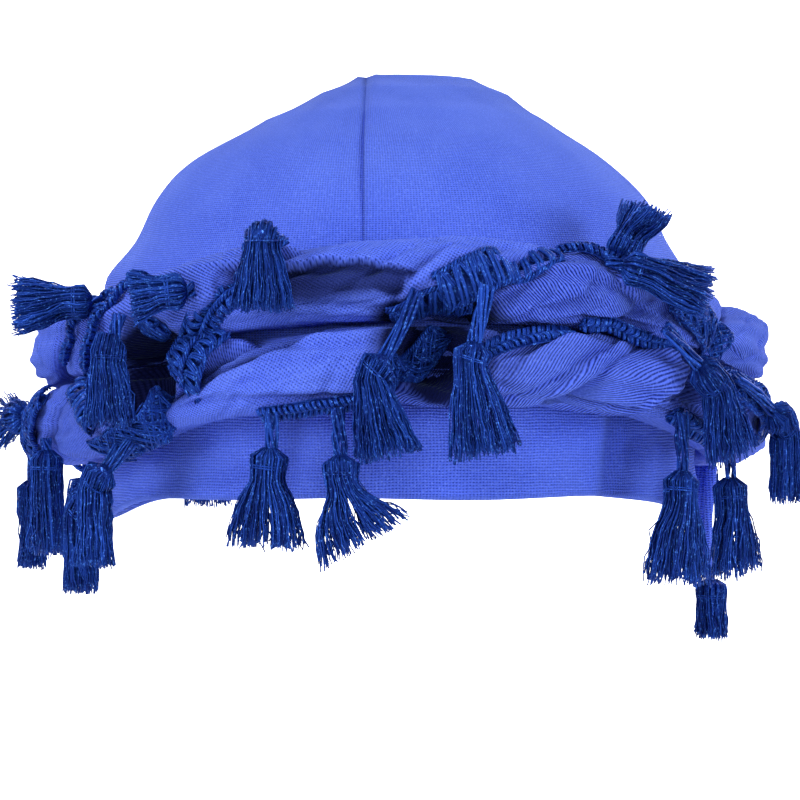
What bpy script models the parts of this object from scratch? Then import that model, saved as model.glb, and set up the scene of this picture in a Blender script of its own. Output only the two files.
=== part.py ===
# Pre-tied turban hat: a seamed knit crown on a brow band, wound with two twisted
# scarf rolls that carry a crochet edging and tassels.
# Metres. +Z is up, the wearer faces -Y and +X is the wearer's left hand.
# The origin is the middle of the head opening, level with the front edge of the brow band.
# An azimuth is measured in degrees from the front towards +X.

import math
from collections import namedtuple

import bmesh
import bpy
from mathutils import Vector
from mathutils.bvhtree import BVHTree

# Cap
HEAD_HALF_WIDTH = 0.0825
HEAD_HALF_DEPTH = 0.0975
PLAN_EXPONENT = 2.15
BAND_WALL = 0.0025
CROWN_WALL = 0.0020
BAND_TOP = 0.0300
CROWN_TOP = 0.1196
RIM_DIP_SIDES = 0.0085
RIM_DIP_BACK = 0.0040
SEAM_OFFSET = -0.0095
SEW_GAP = 0.0003

# Twisted scarf
WRAP_BOTTOM = 0.0240
LOWER_WRAP_HEIGHT = 0.0212
UPPER_WRAP_HEIGHT = 0.0222
WRAP_THICKNESS = 0.0200
WRAP_DROP = 0.0115
FOLD_DEPTH = 0.0070
FOLD_RUN_DEG = 19.0
ROLL_SQUARENESS = 0.85
WRAP_CLEARANCE = 0.0006
STACK_GAP = 0.0008

# Crochet edging
EDGING_WIDTH = 0.0085
EDGING_THICKNESS = 0.0026
EDGING_GAP = 0.0005
EDGING_SHARES = (-1.0, -0.5, 0.0, 0.5, 1.0)

# Tassels
CORD_RADIUS = 0.0019
HEAD_RADIUS = 0.0038
HEAD_LENGTH = 0.0062
NECK_RADIUS = 0.0030
SKIRT_LENGTH = 0.0230
SKIRT_HALF_WIDTH = 0.0095
SKIRT_HALF_DEPTH = 0.0040
LOCK_SLIT = 0.00022
TASSEL_GAP = 0.0003

# Loose end of the scarf
TAIL_AZIMUTH = 108.0
TAIL_LENGTH = 0.0310
TAIL_TOP_WIDTH = 0.0150
TAIL_END_WIDTH = 0.0090
TAIL_THICKNESS = 0.0020
TAIL_GAP = 0.0005

# Mesh fineness
CAP_SIDES = 36
WRAP_ROWS = 16
COLUMN_SAG_DEG = 5.5
SHARP_EDGE_DEG = 55.0
EDGING_STEPS = 7
TASSEL_SIDES = 6

# Sections of the crown, from its lower edge to its top: each height is a share of the
# crown's height, and the four reaches are shares of the cap's outer half width and depth.
Section = namedtuple("Section", "height left right front back")
CROWN_SECTIONS = (
    Section(0.00, 1.000, 1.000, 1.000, 1.000),
    Section(0.34, 1.012, 0.990, 0.990, 1.005),
    Section(0.47, 0.912, 0.918, 0.945, 0.975),
    Section(0.60, 0.830, 0.850, 0.880, 0.925),
    Section(0.73, 0.702, 0.700, 0.760, 0.830),
    Section(0.86, 0.475, 0.505, 0.560, 0.650),
    Section(0.94, 0.285, 0.375, 0.370, 0.470),
    Section(0.985, 0.165, 0.260, 0.210, 0.300),
)

# How far the wound scarf sits below its height at the front, in shares of WRAP_DROP.
Drape = namedtuple("Drape", "azimuth drop")
DRAPES = (
    Drape(-180, 1.90),
    Drape(-135, 1.70),
    Drape(-90, 1.45),
    Drape(-65, 1.30),
    Drape(-42, 0.90),
    Drape(-22, 0.18),
    Drape(0, 0.00),
    Drape(22, 0.12),
    Drape(42, 0.90),
    Drape(65, 1.25),
    Drape(90, 1.40),
    Drape(135, 1.65),
)

# Folds between the twisted strands, in order round the head: azimuth at mid height,
# and depth in shares of FOLD_DEPTH.
Fold = namedtuple("Fold", "azimuth depth")
UPPER_FOLDS = (
    Fold(-158, 0.8),
    Fold(-124, 0.9),
    Fold(-90, 0.8),
    Fold(-58, 0.9),
    Fold(-22, 1.1),
    Fold(12, 1.2),
    Fold(50, 1.0),
    Fold(88, 0.9),
    Fold(126, 0.9),
    Fold(164, 0.8),
)
LOWER_FOLDS = (
    Fold(-170, 0.8),
    Fold(-134, 0.9),
    Fold(-98, 0.8),
    Fold(-64, 0.9),
    Fold(-29, 1.1),
    Fold(6, 1.3),
    Fold(42, 0.9),
    Fold(74, 0.9),
    Fold(110, 0.8),
    Fold(150, 0.9),
)
# Swell of a strand from one fold to the next: its place in shares of their distance, and
# its fullness from the bottom of the fold, 0, to the strand's full size, 1.
Swell = namedtuple("Swell", "place fullness")
SWELLS = (
    Swell(0.00, 0.00),
    Swell(0.07, 0.46),
    Swell(0.25, 0.84),
    Swell(0.50, 1.00),
    Swell(0.75, 0.97),
    Swell(0.93, 0.74),
)

# Strips of crochet edging: from a start to an end, each an azimuth and a rise round the
# roll's section, where 0 faces outwards and 90 faces up.
Edging = namedtuple("Edging", "name wrap start_azimuth start_rise end_azimuth end_rise")
EDGINGS = (
    Edging("edging_upper_1", "upper", -17, 84, -26, -40),
    Edging("edging_upper_2", "upper", 17, 74, 5, -38),
    Edging("edging_upper_3", "upper", 38, 34, 53, -30),
    Edging("edging_upper_4", "upper", 27, -32, 39, -24),
    Edging("edging_upper_5", "upper", 23, 98, 28, 70),
    Edging("edging_upper_6", "upper", -46, 70, -62, -28),
    Edging("edging_upper_7", "upper", 96, 76, 84, -38),
    Edging("edging_upper_8", "upper", 172, 76, 160, -38),
    Edging("edging_upper_9", "upper", -116, 76, -128, -38),
    Edging("edging_lower_1", "lower", -24, 42, -31, -44),
    Edging("edging_lower_2", "lower", -33, -54, -44, -70),
    Edging("edging_lower_3", "lower", -51, 40, -42, -4),
    Edging("edging_lower_4", "lower", -3, -56, -18, -60),
    Edging("edging_lower_5", "lower", 7, -8, 23, 34),
    Edging("edging_lower_6", "lower", 53, 38, 72, -22),
    Edging("edging_lower_7", "lower", 41, -58, 56, -70),
    Edging("edging_lower_8", "lower", -66, 42, -78, -50),
    Edging("edging_lower_9", "lower", 116, 44, 104, -50),
    Edging("edging_lower_10", "lower", -176, 44, -188, -50),
    Edging("edging_lower_11", "lower", -104, 44, -116, -50),
)

# Tassels that hang: the roll, azimuth and rise of the spot that each is tied to, the
# cord's and skirt's lengths in shares of SKIRT_LENGTH, the skirt's spread, and how many
# degrees the cord sways and the skirt leans round the head.
Hanging = namedtuple("Hanging", "name wrap azimuth rise cord skirt spread sway lean")
HANGING_TASSELS = (
    Hanging("tassel_01", "upper", -16.4, 66, 0.08, 0.88, 0.95, 0.0, 0.0),
    Hanging("tassel_02", "lower", -15.8, -52, 0.35, 0.86, 1.22, -0.6, -0.4),
    Hanging("tassel_03", "lower", -7.5, -52, 0.48, 0.92, 1.55, 0.4, 3.2),
    Hanging("tassel_04", "upper", 2.0, -18, 0.75, 1.00, 0.95, -5.5, 2.2),
    Hanging("tassel_05", "upper", 10.2, -10, 0.60, 1.02, 1.05, -2.0, 2.0),
    Hanging("tassel_06", "lower", 53.0, -54, 0.20, 0.88, 1.30, 0.5, 1.5),
    Hanging("tassel_07", "lower", 41.5, -58, 0.24, 1.05, 1.35, -0.5, -0.8),
    Hanging("tassel_08", "upper", 35.0, -18, 0.40, 0.82, 1.10, 8.5, 3.0),
    Hanging("tassel_09", "lower", 53.5, 42, 0.50, 0.88, 0.75, 11.5, 1.0),
    Hanging("tassel_10", "upper", -38.5, 0, 0.22, 0.92, 0.95, 0.0, 0.0),
    Hanging("tassel_11", "lower", -41.0, -58, 0.50, 0.92, 0.66, -8.0, 0.5),
    Hanging("tassel_12", "lower", -38.0, -56, 0.42, 0.95, 0.66, -4.5, 0.0),
    Hanging("tassel_13", "lower", -91.0, -20, 0.50, 0.84, 0.50, 0.0, 0.0),
    Hanging("tassel_14", "lower", -67.0, -45, 0.20, 1.00, 0.95, 0.0, 0.0),
    Hanging("tassel_15", "upper", 128.0, -20, 0.60, 1.00, 0.90, 0.0, 0.0),
    Hanging("tassel_16", "upper", 170.0, -20, 0.60, 1.00, 0.90, 0.0, 0.0),
    Hanging("tassel_17", "upper", -150.0, -20, 0.60, 1.00, 0.90, 0.0, 0.0),
    Hanging("tassel_18", "lower", -121.0, -34, 0.35, 1.00, 0.90, 0.0, 0.0),
)

# Tassels that stand off the scarf: as above, then the direction in which each points, as
# shares outwards, round the head towards +X, and upwards.
Standing = namedtuple("Standing", "name wrap azimuth rise cord skirt spread out around up")
STANDING_TASSELS = (
    Standing("tassel_19", "upper", -45.0, 38, 0.06, 0.66, 1.30, 0.72, -0.66, -0.06),
    Standing("tassel_20", "lower", -75.5, 14, 0.04, 0.30, 1.00, 0.32, -0.93, -0.10),
    Standing("tassel_21", "upper", 31.5, 84, 0.03, 0.42, 1.45, 0.16, 0.45, 0.85),
    Standing("tassel_22", "upper", 28.0, 50, 0.14, 0.80, 1.20, 0.42, 0.84, -0.30),
    Standing("tassel_23", "upper", -27.0, 10, 0.04, 0.38, 0.85, 0.50, -0.86, -0.12),
)
TAIL_TASSEL = "tassel_24"

FINISHES = {
    "knit": ((0.20, 0.28, 0.78, 1.0), 0.85),
    "scarf": ((0.17, 0.25, 0.74, 1.0), 0.85),
    "edging": ((0.05, 0.10, 0.38, 1.0), 0.55),
    "tassel": ((0.05, 0.11, 0.42, 1.0), 0.50),
}

CAP_HALF_WIDTH = HEAD_HALF_WIDTH + BAND_WALL
CAP_HALF_DEPTH = HEAD_HALF_DEPTH + BAND_WALL
CROWN_BASE = BAND_TOP + SEW_GAP
CROWN_HEIGHT = CROWN_TOP - CROWN_BASE
FAR = 3 * CAP_HALF_DEPTH


def outward(azimuth):
    """Level unit vector that points out of the head at an azimuth in degrees."""
    turn = math.radians(azimuth)
    return Vector((math.sin(turn), -math.cos(turn), 0.0))


def curve_value(before, start, end, after, share):
    """Catmull-Rom value between start and end."""
    slope_a, slope_b = (end - before) / 2, (after - start) / 2
    rest = 1 - share
    return (
        start * (1 + 2 * share) * rest**2
        + slope_a * share * rest**2
        + end * share**2 * (3 - 2 * share)
        - slope_b * share**2 * rest
    )


def plan_reach(azimuth, left, right, front, back):
    """Distance from the axis to a rounded plan outline with four half sizes."""
    way = outward(azimuth)
    half_x = right if way.x > 0 else left
    half_y = back if way.y > 0 else front
    total = abs(way.x / half_x) ** PLAN_EXPONENT + abs(way.y / half_y) ** PLAN_EXPONENT
    return total ** (-1 / PLAN_EXPONENT)


def crown_reaches(height):
    """Left, right, front and back reach shares of the crown at a share of its height."""
    rows = CROWN_SECTIONS
    if height <= 0:
        return rows[0][1:]
    if height >= rows[-1].height:
        close = math.sqrt(max(0.0, (1 - height) / (1 - rows[-1].height)))
        return [reach * close for reach in rows[-1][1:]]
    upper = next(i for i, row in enumerate(rows) if row.height > height)
    start, end = rows[upper - 1], rows[upper]
    before = rows[max(upper - 2, 0)]
    after = rows[min(upper + 1, len(rows) - 1)]
    share = (height - start.height) / (end.height - start.height)
    return [curve_value(*values, share) for values in zip(before[1:], start[1:], end[1:], after[1:])]


def crown_reach(azimuth, z, inset=0.0):
    """Outer radius of the cap at a height, less an inset."""
    left, right, front, back = crown_reaches((z - CROWN_BASE) / CROWN_HEIGHT)
    return plan_reach(
        azimuth,
        max(left * CAP_HALF_WIDTH - inset, inset),
        max(right * CAP_HALF_WIDTH - inset, inset),
        max(front * CAP_HALF_DEPTH - inset, inset),
        max(back * CAP_HALF_DEPTH - inset, inset),
    )


def rim_height(azimuth):
    """Height of the brow band's lower edge, which dips over the ears and at the nape."""
    side = abs(math.sin(math.radians(azimuth))) ** 6
    back = ((1 - math.cos(math.radians(azimuth))) / 2) ** 2
    return -RIM_DIP_SIDES * side - RIM_DIP_BACK * back * (1 - side)


def wrap_drop(azimuth):
    """How far the wound scarf sits below its height at the front."""
    azimuth = (azimuth + 180) % 360 - 180
    count = len(DRAPES)
    at = max(i for i, row in enumerate(DRAPES) if row.azimuth <= azimuth)
    before, start = DRAPES[at - 1], DRAPES[at]
    end, after = DRAPES[(at + 1) % count], DRAPES[(at + 2) % count]
    span = (end.azimuth - start.azimuth) % 360
    share = (azimuth - start.azimuth) / span
    return WRAP_DROP * curve_value(before.drop, start.drop, end.drop, after.drop, share)


def stack_height(azimuth):
    """Height at which the upper roll lies on the lower one."""
    return WRAP_BOTTOM + LOWER_WRAP_HEIGHT - wrap_drop(azimuth)


class Wrap:
    """One roll of twisted scarf round the cap."""

    def __init__(self, name, base, height, folds, stack_side):
        self.name = name
        self.base = base
        self.height = height
        self.folds = folds
        self.stack_side = stack_side

    def centre(self, azimuth):
        """Middle of the roll's section at an azimuth."""
        z = self.base + self.height / 2 - wrap_drop(azimuth)
        lean = crown_reach(azimuth, stack_height(azimuth))
        return outward(azimuth) * (lean + WRAP_CLEARANCE + WRAP_THICKNESS / 2) + Vector((0, 0, z))

    def ray(self, azimuth, rise):
        """Middle of the section and the way out of it at a rise in degrees."""
        turn = math.radians(rise)
        way = outward(azimuth) * math.cos(turn) + Vector((0, 0, math.sin(turn)))
        return self.centre(azimuth), way

    def column_at(self, column):
        """Azimuth at mid height, hollow share and fold depth of a mesh column."""
        turn, fold = divmod(column // len(SWELLS), len(self.folds))
        swell = SWELLS[column % len(SWELLS)]
        start = self.folds[fold]
        end = self.folds[(fold + 1) % len(self.folds)]
        span = (end.azimuth - start.azimuth) % 360
        depth = start.depth + (end.depth - start.depth) * swell.place
        return start.azimuth + span * swell.place + 360 * turn, 1 - swell.fullness, depth

    def surface(self, column, row):
        """Point of the roll: the columns run along the twist, from the underside up."""
        rise = -90 + 360 * row / WRAP_ROWS
        azimuth, hollow, depth = self.column_at(column)
        run = FOLD_RUN_DEG / 2
        if rise <= 90:
            azimuth += run * rise / 90
        else:
            onward = self.column_at(column + len(SWELLS))[0] - run
            azimuth += run + (onward - azimuth - run) * (rise - 90) / 180
        out, up = math.cos(math.radians(rise)), math.sin(math.radians(rise))
        shown = min(1.0, max(0.0, out + 0.5))
        dent = FOLD_DEPTH * depth * hollow * shown
        centre = self.centre(azimuth)
        z = centre.z + self.height / 2 * math.copysign(abs(up) ** ROLL_SQUARENESS, up) - dent * up
        stack = stack_height(azimuth)
        if self.stack_side > 0:
            z = max(z, stack + STACK_GAP / 2)
        else:
            z = min(z, stack - STACK_GAP / 2)
        half_out = WRAP_THICKNESS / 2 * math.copysign(abs(out) ** ROLL_SQUARENESS, out)
        radius = centre.xy.length + half_out - dent * out
        inner = crown_reach(azimuth, z) / math.cos(math.radians(COLUMN_SAG_DEG)) + WRAP_CLEARANCE
        return outward(azimuth) * max(radius, inner) + Vector((0, 0, z))

    def mesh(self):
        """Closed ring whose columns join one fold further round at the underside."""
        columns = len(self.folds) * len(SWELLS)
        points = [self.surface(c, r) for c in range(columns) for r in range(WRAP_ROWS)]
        faces = []
        for column in range(columns):
            for row in range(WRAP_ROWS):
                shift = 0 if row + 1 < WRAP_ROWS else len(SWELLS)
                corners = (
                    (column, row),
                    (column + 1, row),
                    (column + 1 + shift, (row + 1) % WRAP_ROWS),
                    (column + shift, (row + 1) % WRAP_ROWS),
                )
                faces.append([c % columns * WRAP_ROWS + r for c, r in corners])
        return points, faces


WRAPS = {
    "upper": Wrap("upper_wrap", WRAP_BOTTOM + LOWER_WRAP_HEIGHT, UPPER_WRAP_HEIGHT, UPPER_FOLDS, 1),
    "lower": Wrap("lower_wrap", WRAP_BOTTOM, LOWER_WRAP_HEIGHT, LOWER_FOLDS, -1),
}


def clear_scene():
    """Removes the objects that the scene starts with."""
    for thing in list(bpy.data.objects):
        bpy.data.objects.remove(thing)


def finish_material(kind):
    """Principled material for one kind of piece."""
    material = bpy.data.materials.get(kind) or bpy.data.materials.new(kind)
    colour, roughness = FINISHES[kind]
    material.use_nodes = True
    shader = material.node_tree.nodes["Principled BSDF"]
    shader.inputs["Base Color"].default_value = colour
    shader.inputs["Roughness"].default_value = roughness
    material.diffuse_color = colour
    return material


def add_object(name, mesh_builder, kind):
    """Named object made from a bmesh, with its faces turned outwards."""
    bmesh.ops.recalc_face_normals(mesh_builder, faces=mesh_builder.faces)
    mesh = bpy.data.meshes.new(name)
    mesh_builder.to_mesh(mesh)
    mesh_builder.free()
    mesh.materials.append(finish_material(kind))
    mesh.shade_smooth()
    mesh.set_sharp_from_angle(angle=math.radians(SHARP_EDGE_DEG))
    thing = bpy.data.objects.new(name, mesh)
    bpy.context.scene.collection.objects.link(thing)
    return thing


def faces_to_bmesh(points, faces):
    """Bmesh from a list of points and a list of face corners."""
    made = bmesh.new()
    corners = [made.verts.new(point) for point in points]
    for face in faces:
        made.faces.new([corners[i] for i in face])
    return made


def skin_loops(made, loops):
    """Joins each closed loop of bmesh vertices to the next one."""
    for below, above in zip(loops, loops[1:]):
        count = len(below)
        for i in range(count):
            j = (i + 1) % count
            made.faces.new((below[i], below[j], above[j], above[i]))


def cap_loop(made, reach, height):
    """Loop of vertices round the head, from radius and height functions of azimuth."""
    loop = []
    for side in range(CAP_SIDES):
        azimuth = 360 * side / CAP_SIDES
        z = height(azimuth)
        loop.append(made.verts.new(outward(azimuth) * reach(azimuth, z) + Vector((0, 0, z))))
    return loop


def add_brow_band():
    """Ring of doubled knit from the rim up to the crown's lower edge."""
    made = bmesh.new()
    outer = lambda azimuth, z: crown_reach(azimuth, CROWN_BASE)
    inner = lambda azimuth, z: crown_reach(azimuth, CROWN_BASE, BAND_WALL)
    levels = (0.0, 0.5, 1.0)
    heights = [lambda a, s=s: rim_height(a) + (BAND_TOP - rim_height(a)) * s for s in levels]
    loops = [cap_loop(made, outer, height) for height in heights]
    loops += [cap_loop(made, inner, height) for height in (heights[-1], heights[0])]
    skin_loops(made, loops + loops[:1])
    return add_object("brow_band", made, "knit")


def add_crown():
    """Two knit panels that meet at the seam from front to back."""
    outer_levels = (0.0, 0.17, 0.32, 0.40, 0.47, 0.54, 0.60, 0.67, 0.73, 0.80, 0.86, 0.91, 0.95, 0.985)
    inner_levels = (0.94, 0.86, 0.73, 0.60, 0.34, 0.0)
    made = bmesh.new()
    loops = []
    for share in outer_levels:
        z = CROWN_BASE + CROWN_HEIGHT * share
        loops.append(cap_loop(made, crown_reach, lambda azimuth, z=z: z))
    loops.reverse()
    for share in reversed(inner_levels):
        z = CROWN_BASE + (CROWN_HEIGHT - CROWN_WALL) * share
        outer_share = (z - CROWN_BASE) / CROWN_HEIGHT
        lean = CROWN_WALL * (1 + 0.7 * outer_share**3)
        inner = lambda azimuth, z, lean=lean: crown_reach(azimuth, z, lean)
        loops.append(cap_loop(made, inner, lambda azimuth, z=z: z))
    skin_loops(made, loops)
    left, right, front, back = CROWN_SECTIONS[-1][1:]
    middle = Vector(((right - left) * CAP_HALF_WIDTH / 2, (back - front) * CAP_HALF_DEPTH / 2, 0))
    for loop, top in ((loops[0], CROWN_TOP), (loops[-1], CROWN_TOP - 1.6 * CROWN_WALL)):
        peak = made.verts.new(middle + Vector((0, 0, top)))
        for i, corner in enumerate(loop):
            made.faces.new((corner, loop[(i + 1) % CAP_SIDES], peak))
    whole = add_object("crown_pattern", made, "knit")
    for name, side in (("crown_panel_left", -1), ("crown_panel_right", 1)):
        panel = bpy.data.objects.new(name, whole.data.copy())
        bpy.context.scene.collection.objects.link(panel)
        cutter = add_seam_cutter(name + "_cutter", side)
        cut = panel.modifiers.new("seam", "BOOLEAN")
        cut.operation = "INTERSECT"
        cut.object = cutter
    whole.hide_render = True
    whole.display_type = "WIRE"


def add_seam_cutter(name, side):
    """Box that holds everything on one side of the crown's seam."""
    made = bmesh.new()
    bmesh.ops.create_cube(made, size=1.0)
    reach = FAR
    for corner in made.verts:
        near = corner.co.x * side < 0
        corner.co.x = SEAM_OFFSET + side * (SEW_GAP / 2 if near else reach)
        corner.co.y *= 2 * reach
        corner.co.z *= 2 * reach
    cutter = add_object(name, made, "knit")
    cutter.data.shade_flat()
    cutter.hide_render = True
    cutter.display_type = "WIRE"
    return cutter


def add_wraps():
    """The two scarf rolls."""
    for wrap in WRAPS.values():
        points, faces = wrap.mesh()
        add_object(wrap.name, faces_to_bmesh(points, faces), "scarf")


def tree_of(*names):
    """Search tree over the triangles of some objects."""
    points, faces = [], []
    for name in names:
        mesh = bpy.data.objects[name].data
        first = len(points)
        points += [corner.co.copy() for corner in mesh.vertices]
        faces += [[first + i for i in face.vertices] for face in mesh.polygons]
    return BVHTree.FromPolygons(points, faces)


class Obstacles:
    """The finished pieces that the next ones rest on."""

    def __init__(self, names):
        self.names = list(names)
        self.tree = tree_of(*self.names)

    def add(self, *names):
        """Adds finished pieces."""
        self.names += names
        self.tree = tree_of(*self.names)

    def lift(self, spot, way):
        """Distance from a spot inside the scarf to the outermost surface along a way."""
        start = 2 * WRAP_THICKNESS
        hit = self.tree.ray_cast(spot + way * start, -way)
        return WRAP_THICKNESS / 2 if hit[0] is None else start - hit[3]

    def crowds(self, spot, clear):
        """Whether a surface at or below a spot's level is nearer than a clear distance."""
        nearest, _, _, distance = self.tree.find_nearest(spot)
        return distance < clear and nearest.z <= spot.z

    def reach(self, azimuth, z, half_width):
        """Largest radius of what lies behind a width at a height."""
        found = 0.0
        for share in (-1.0, -0.67, -0.33, 0.0, 0.33, 0.67, 1.0):
            turn = share * half_width / CAP_HALF_WIDTH
            way = outward(azimuth + math.degrees(turn))
            hit = self.tree.ray_cast(way * FAR + Vector((0, 0, z)), -way)[0]
            if hit is not None:
                found = max(found, hit.xy.length * math.cos(turn))
        return found


def strip_frame(row, along):
    """Middle of the roll, the way out and the way across a strip at a share along it."""
    wrap = WRAPS[row.wrap]
    step = 0.02
    frames = []
    for share in (along, along + step):
        azimuth = row.start_azimuth + (row.end_azimuth - row.start_azimuth) * share
        rise = row.start_rise + (row.end_rise - row.start_rise) * share
        frames.append(wrap.ray(azimuth, rise))
    (spot, way), (next_spot, next_way) = frames
    onward = next_spot - spot + (next_way - way) * WRAP_THICKNESS / 2
    return spot, way, way.cross(onward).normalized()


def strip_mesh(row, obstacles):
    """Closed strip with a raised middle line that clears what it lies on."""
    half = EDGING_WIDTH / 2
    fine = 3
    lifts = []
    for step in range(-fine, (EDGING_STEPS + 1) * fine + 1):
        spot, way, side = strip_frame(row, step / (EDGING_STEPS * fine))
        lifts.append([obstacles.lift(spot + side * half * share, way) for share in EDGING_SHARES])
    made = bmesh.new()
    loops = []
    for step in range(EDGING_STEPS + 1):
        spot, way, side = strip_frame(row, step / EDGING_STEPS)
        near = lifts[step * fine : (step + 2) * fine + 1]
        highest = [max(column) for column in zip(*near)]
        seats = [max(highest[:3]), max(highest[1:4]), max(highest[2:])]
        outline = []
        for share, seat in zip((-1, 0, 1), seats):
            outline.append((share, seat + EDGING_GAP))
        for share, seat in zip((1, 0, -1), reversed(seats)):
            outline.append((share, seat + EDGING_GAP + EDGING_THICKNESS * (1 - 0.25 * abs(share))))
        ring = [spot + side * half * share + way * height for share, height in outline]
        loops.append([made.verts.new(point) for point in ring])
    skin_loops(made, loops)
    made.faces.new(loops[0])
    made.faces.new(loops[-1])
    return made


def add_edgings():
    """All strips of crochet edging, each on its roll."""
    rolls = {key: Obstacles([wrap.name]) for key, wrap in WRAPS.items()}
    for row in EDGINGS:
        add_object(row.name, strip_mesh(row, rolls[row.wrap]), "edging")


# Stations of a tassel: the share of its own stretch, and half width and half depth there.
Station = namedtuple("Station", "distance half_width half_depth")


def tassel_stations(cord, skirt, spread):
    """Stations from the cord's root to the ends of the locks."""
    cord_steps = max(1, round(cord / (4 * CORD_RADIUS)))
    stations = [Station(cord * i / cord_steps, CORD_RADIUS, CORD_RADIUS) for i in range(cord_steps)]
    stations += [
        Station(cord, CORD_RADIUS * 1.2, CORD_RADIUS * 1.2),
        Station(cord + HEAD_LENGTH * 0.4, HEAD_RADIUS, HEAD_RADIUS),
        Station(cord + HEAD_LENGTH, NECK_RADIUS, NECK_RADIUS),
    ]
    middle = cord + HEAD_LENGTH + skirt * 0.45
    half_width = SKIRT_HALF_WIDTH * spread
    stations.append(Station(middle, half_width * 0.70, SKIRT_HALF_DEPTH * 0.95))
    stations.append(Station(cord + HEAD_LENGTH + skirt, half_width, SKIRT_HALF_DEPTH))
    return stations


def build_tassel(name, stations, spots, sides, outs):
    """Cord, knotted head and skirt of locks as one body along a row of spots."""
    made = bmesh.new()
    loops = []
    last = len(stations) - 3
    for station, spot, side, out in list(zip(stations, spots, sides, outs))[: last + 1]:
        loop = []
        for i in range(TASSEL_SIDES):
            turn = 2 * math.pi * i / TASSEL_SIDES
            wide = side * math.cos(turn) * station.half_width
            deep = out * math.sin(turn) * station.half_depth
            loop.append(made.verts.new(spot + wide + deep))
        loops.append(loop)
    skin_loops(made, loops)
    made.faces.new(loops[0])
    middle = made.verts.new(spots[last])
    wedges = []
    for i, corner in enumerate(loops[-1]):
        wedges.append(made.faces.new((corner, loops[-1][(i + 1) % TASSEL_SIDES], middle)))
    bmesh.ops.recalc_face_normals(made, faces=made.faces)
    bmesh.ops.inset_individual(made, faces=wedges, thickness=LOCK_SLIT)
    for level in (last + 1, last + 2):
        before, after = level - 1, level
        wedges = bmesh.ops.extrude_discrete_faces(made, faces=wedges)["faces"]
        for number, wedge in enumerate(wedges):
            ragged = 1.0
            if level == last + 2:
                ragged = 0.90 + 0.10 * math.sin(2.4 * number + len(name) + spots[0].x * 400)
            target = spots[before].lerp(spots[after], ragged)
            for corner in wedge.verts:
                local = corner.co - spots[before]
                wide = local.dot(sides[before]) / stations[before].half_width
                deep = local.dot(outs[before]) / stations[before].half_depth
                corner.co = (
                    target
                    + sides[after] * wide * stations[after].half_width
                    + outs[after] * deep * stations[after].half_depth
                )
    add_object(name, made, "tassel")


def station_at(stations, distance):
    """Station between two rows of a tassel's stations."""
    for start, end in zip(stations, stations[1:]):
        if distance <= end.distance:
            share = max(0.0, distance - start.distance) / (end.distance - start.distance)
            return Station(*[a + (b - a) * share for a, b in zip(start, end)])
    return stations[-1]


def hanging_trail(seat, stations, sway, lean, obstacles):
    """Rows of distance, azimuth, radius and height down over what is behind."""
    start = math.degrees(math.atan2(seat.x, -seat.y))
    neck, end = stations[-3].distance, stations[-1].distance
    radius, z, distance = seat.xy.length, seat.z, 0.0
    trail = []
    while distance <= end + CORD_RADIUS:
        size = station_at(stations, distance)
        swung = start + sway * min(1.0, distance / neck)
        swung += lean * max(0.0, distance - neck) / (end - neck)
        clear = size.half_depth + TASSEL_GAP
        behind = max(radius, obstacles.reach(swung, z, size.half_width) + clear)
        while obstacles.crowds(outward(swung) * behind + Vector((0, 0, z)), clear):
            behind += CORD_RADIUS / 8
        climb = behind - radius
        radius += climb
        distance += climb
        trail.append((distance, swung, radius, z))
        z -= CORD_RADIUS / 2
        distance += CORD_RADIUS / 2
    return trail


def trail_at(trail, distance):
    """Row of a trail at a distance, between two of its rows."""
    for start, end in zip(trail, trail[1:]):
        if distance <= end[0]:
            share = max(0.0, distance - start[0]) / (end[0] - start[0])
            return [a + (b - a) * share for a, b in zip(start, end)]
    return trail[-1]


def hanging_route(seat, stations, sway, lean, obstacles):
    """Spots, sides and outward ways of a tassel that hangs over what is behind it."""
    trail = hanging_trail(seat, stations, sway, lean, obstacles)
    rows = [trail_at(trail, station.distance) for station in stations]
    head = len(stations) - 4
    fall = rows[head][3] - rows[-1][3]
    far = max(row[2] for row in trail)
    near = rows[head][2]
    for row in trail:
        share = (rows[head][3] - row[3]) / fall
        if 0 < share < 0.95:
            near = max(near, (row[2] - far * share) / (1 - share))
    near = min(near, far)
    spots, sides, outs = [], [], []
    for number, (distance, swung, radius, z) in enumerate(rows):
        if number > head:
            share = (rows[head][3] - z) / fall
            radius = near + (far - near) * share
        elif head > 0:
            share = number / head
            radius += (near - rows[head][2]) * share
        else:
            radius = near
        spots.append(outward(swung) * radius + Vector((0, 0, z)))
    last = len(spots) - 1
    for number, row in enumerate(rows):
        along = (spots[min(number + 1, last)] - spots[max(number - 1, 0)]).normalized()
        side = along.cross(outward(row[1])).normalized()
        sides.append(side)
        outs.append(side.cross(along))
    return spots, sides, outs


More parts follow.
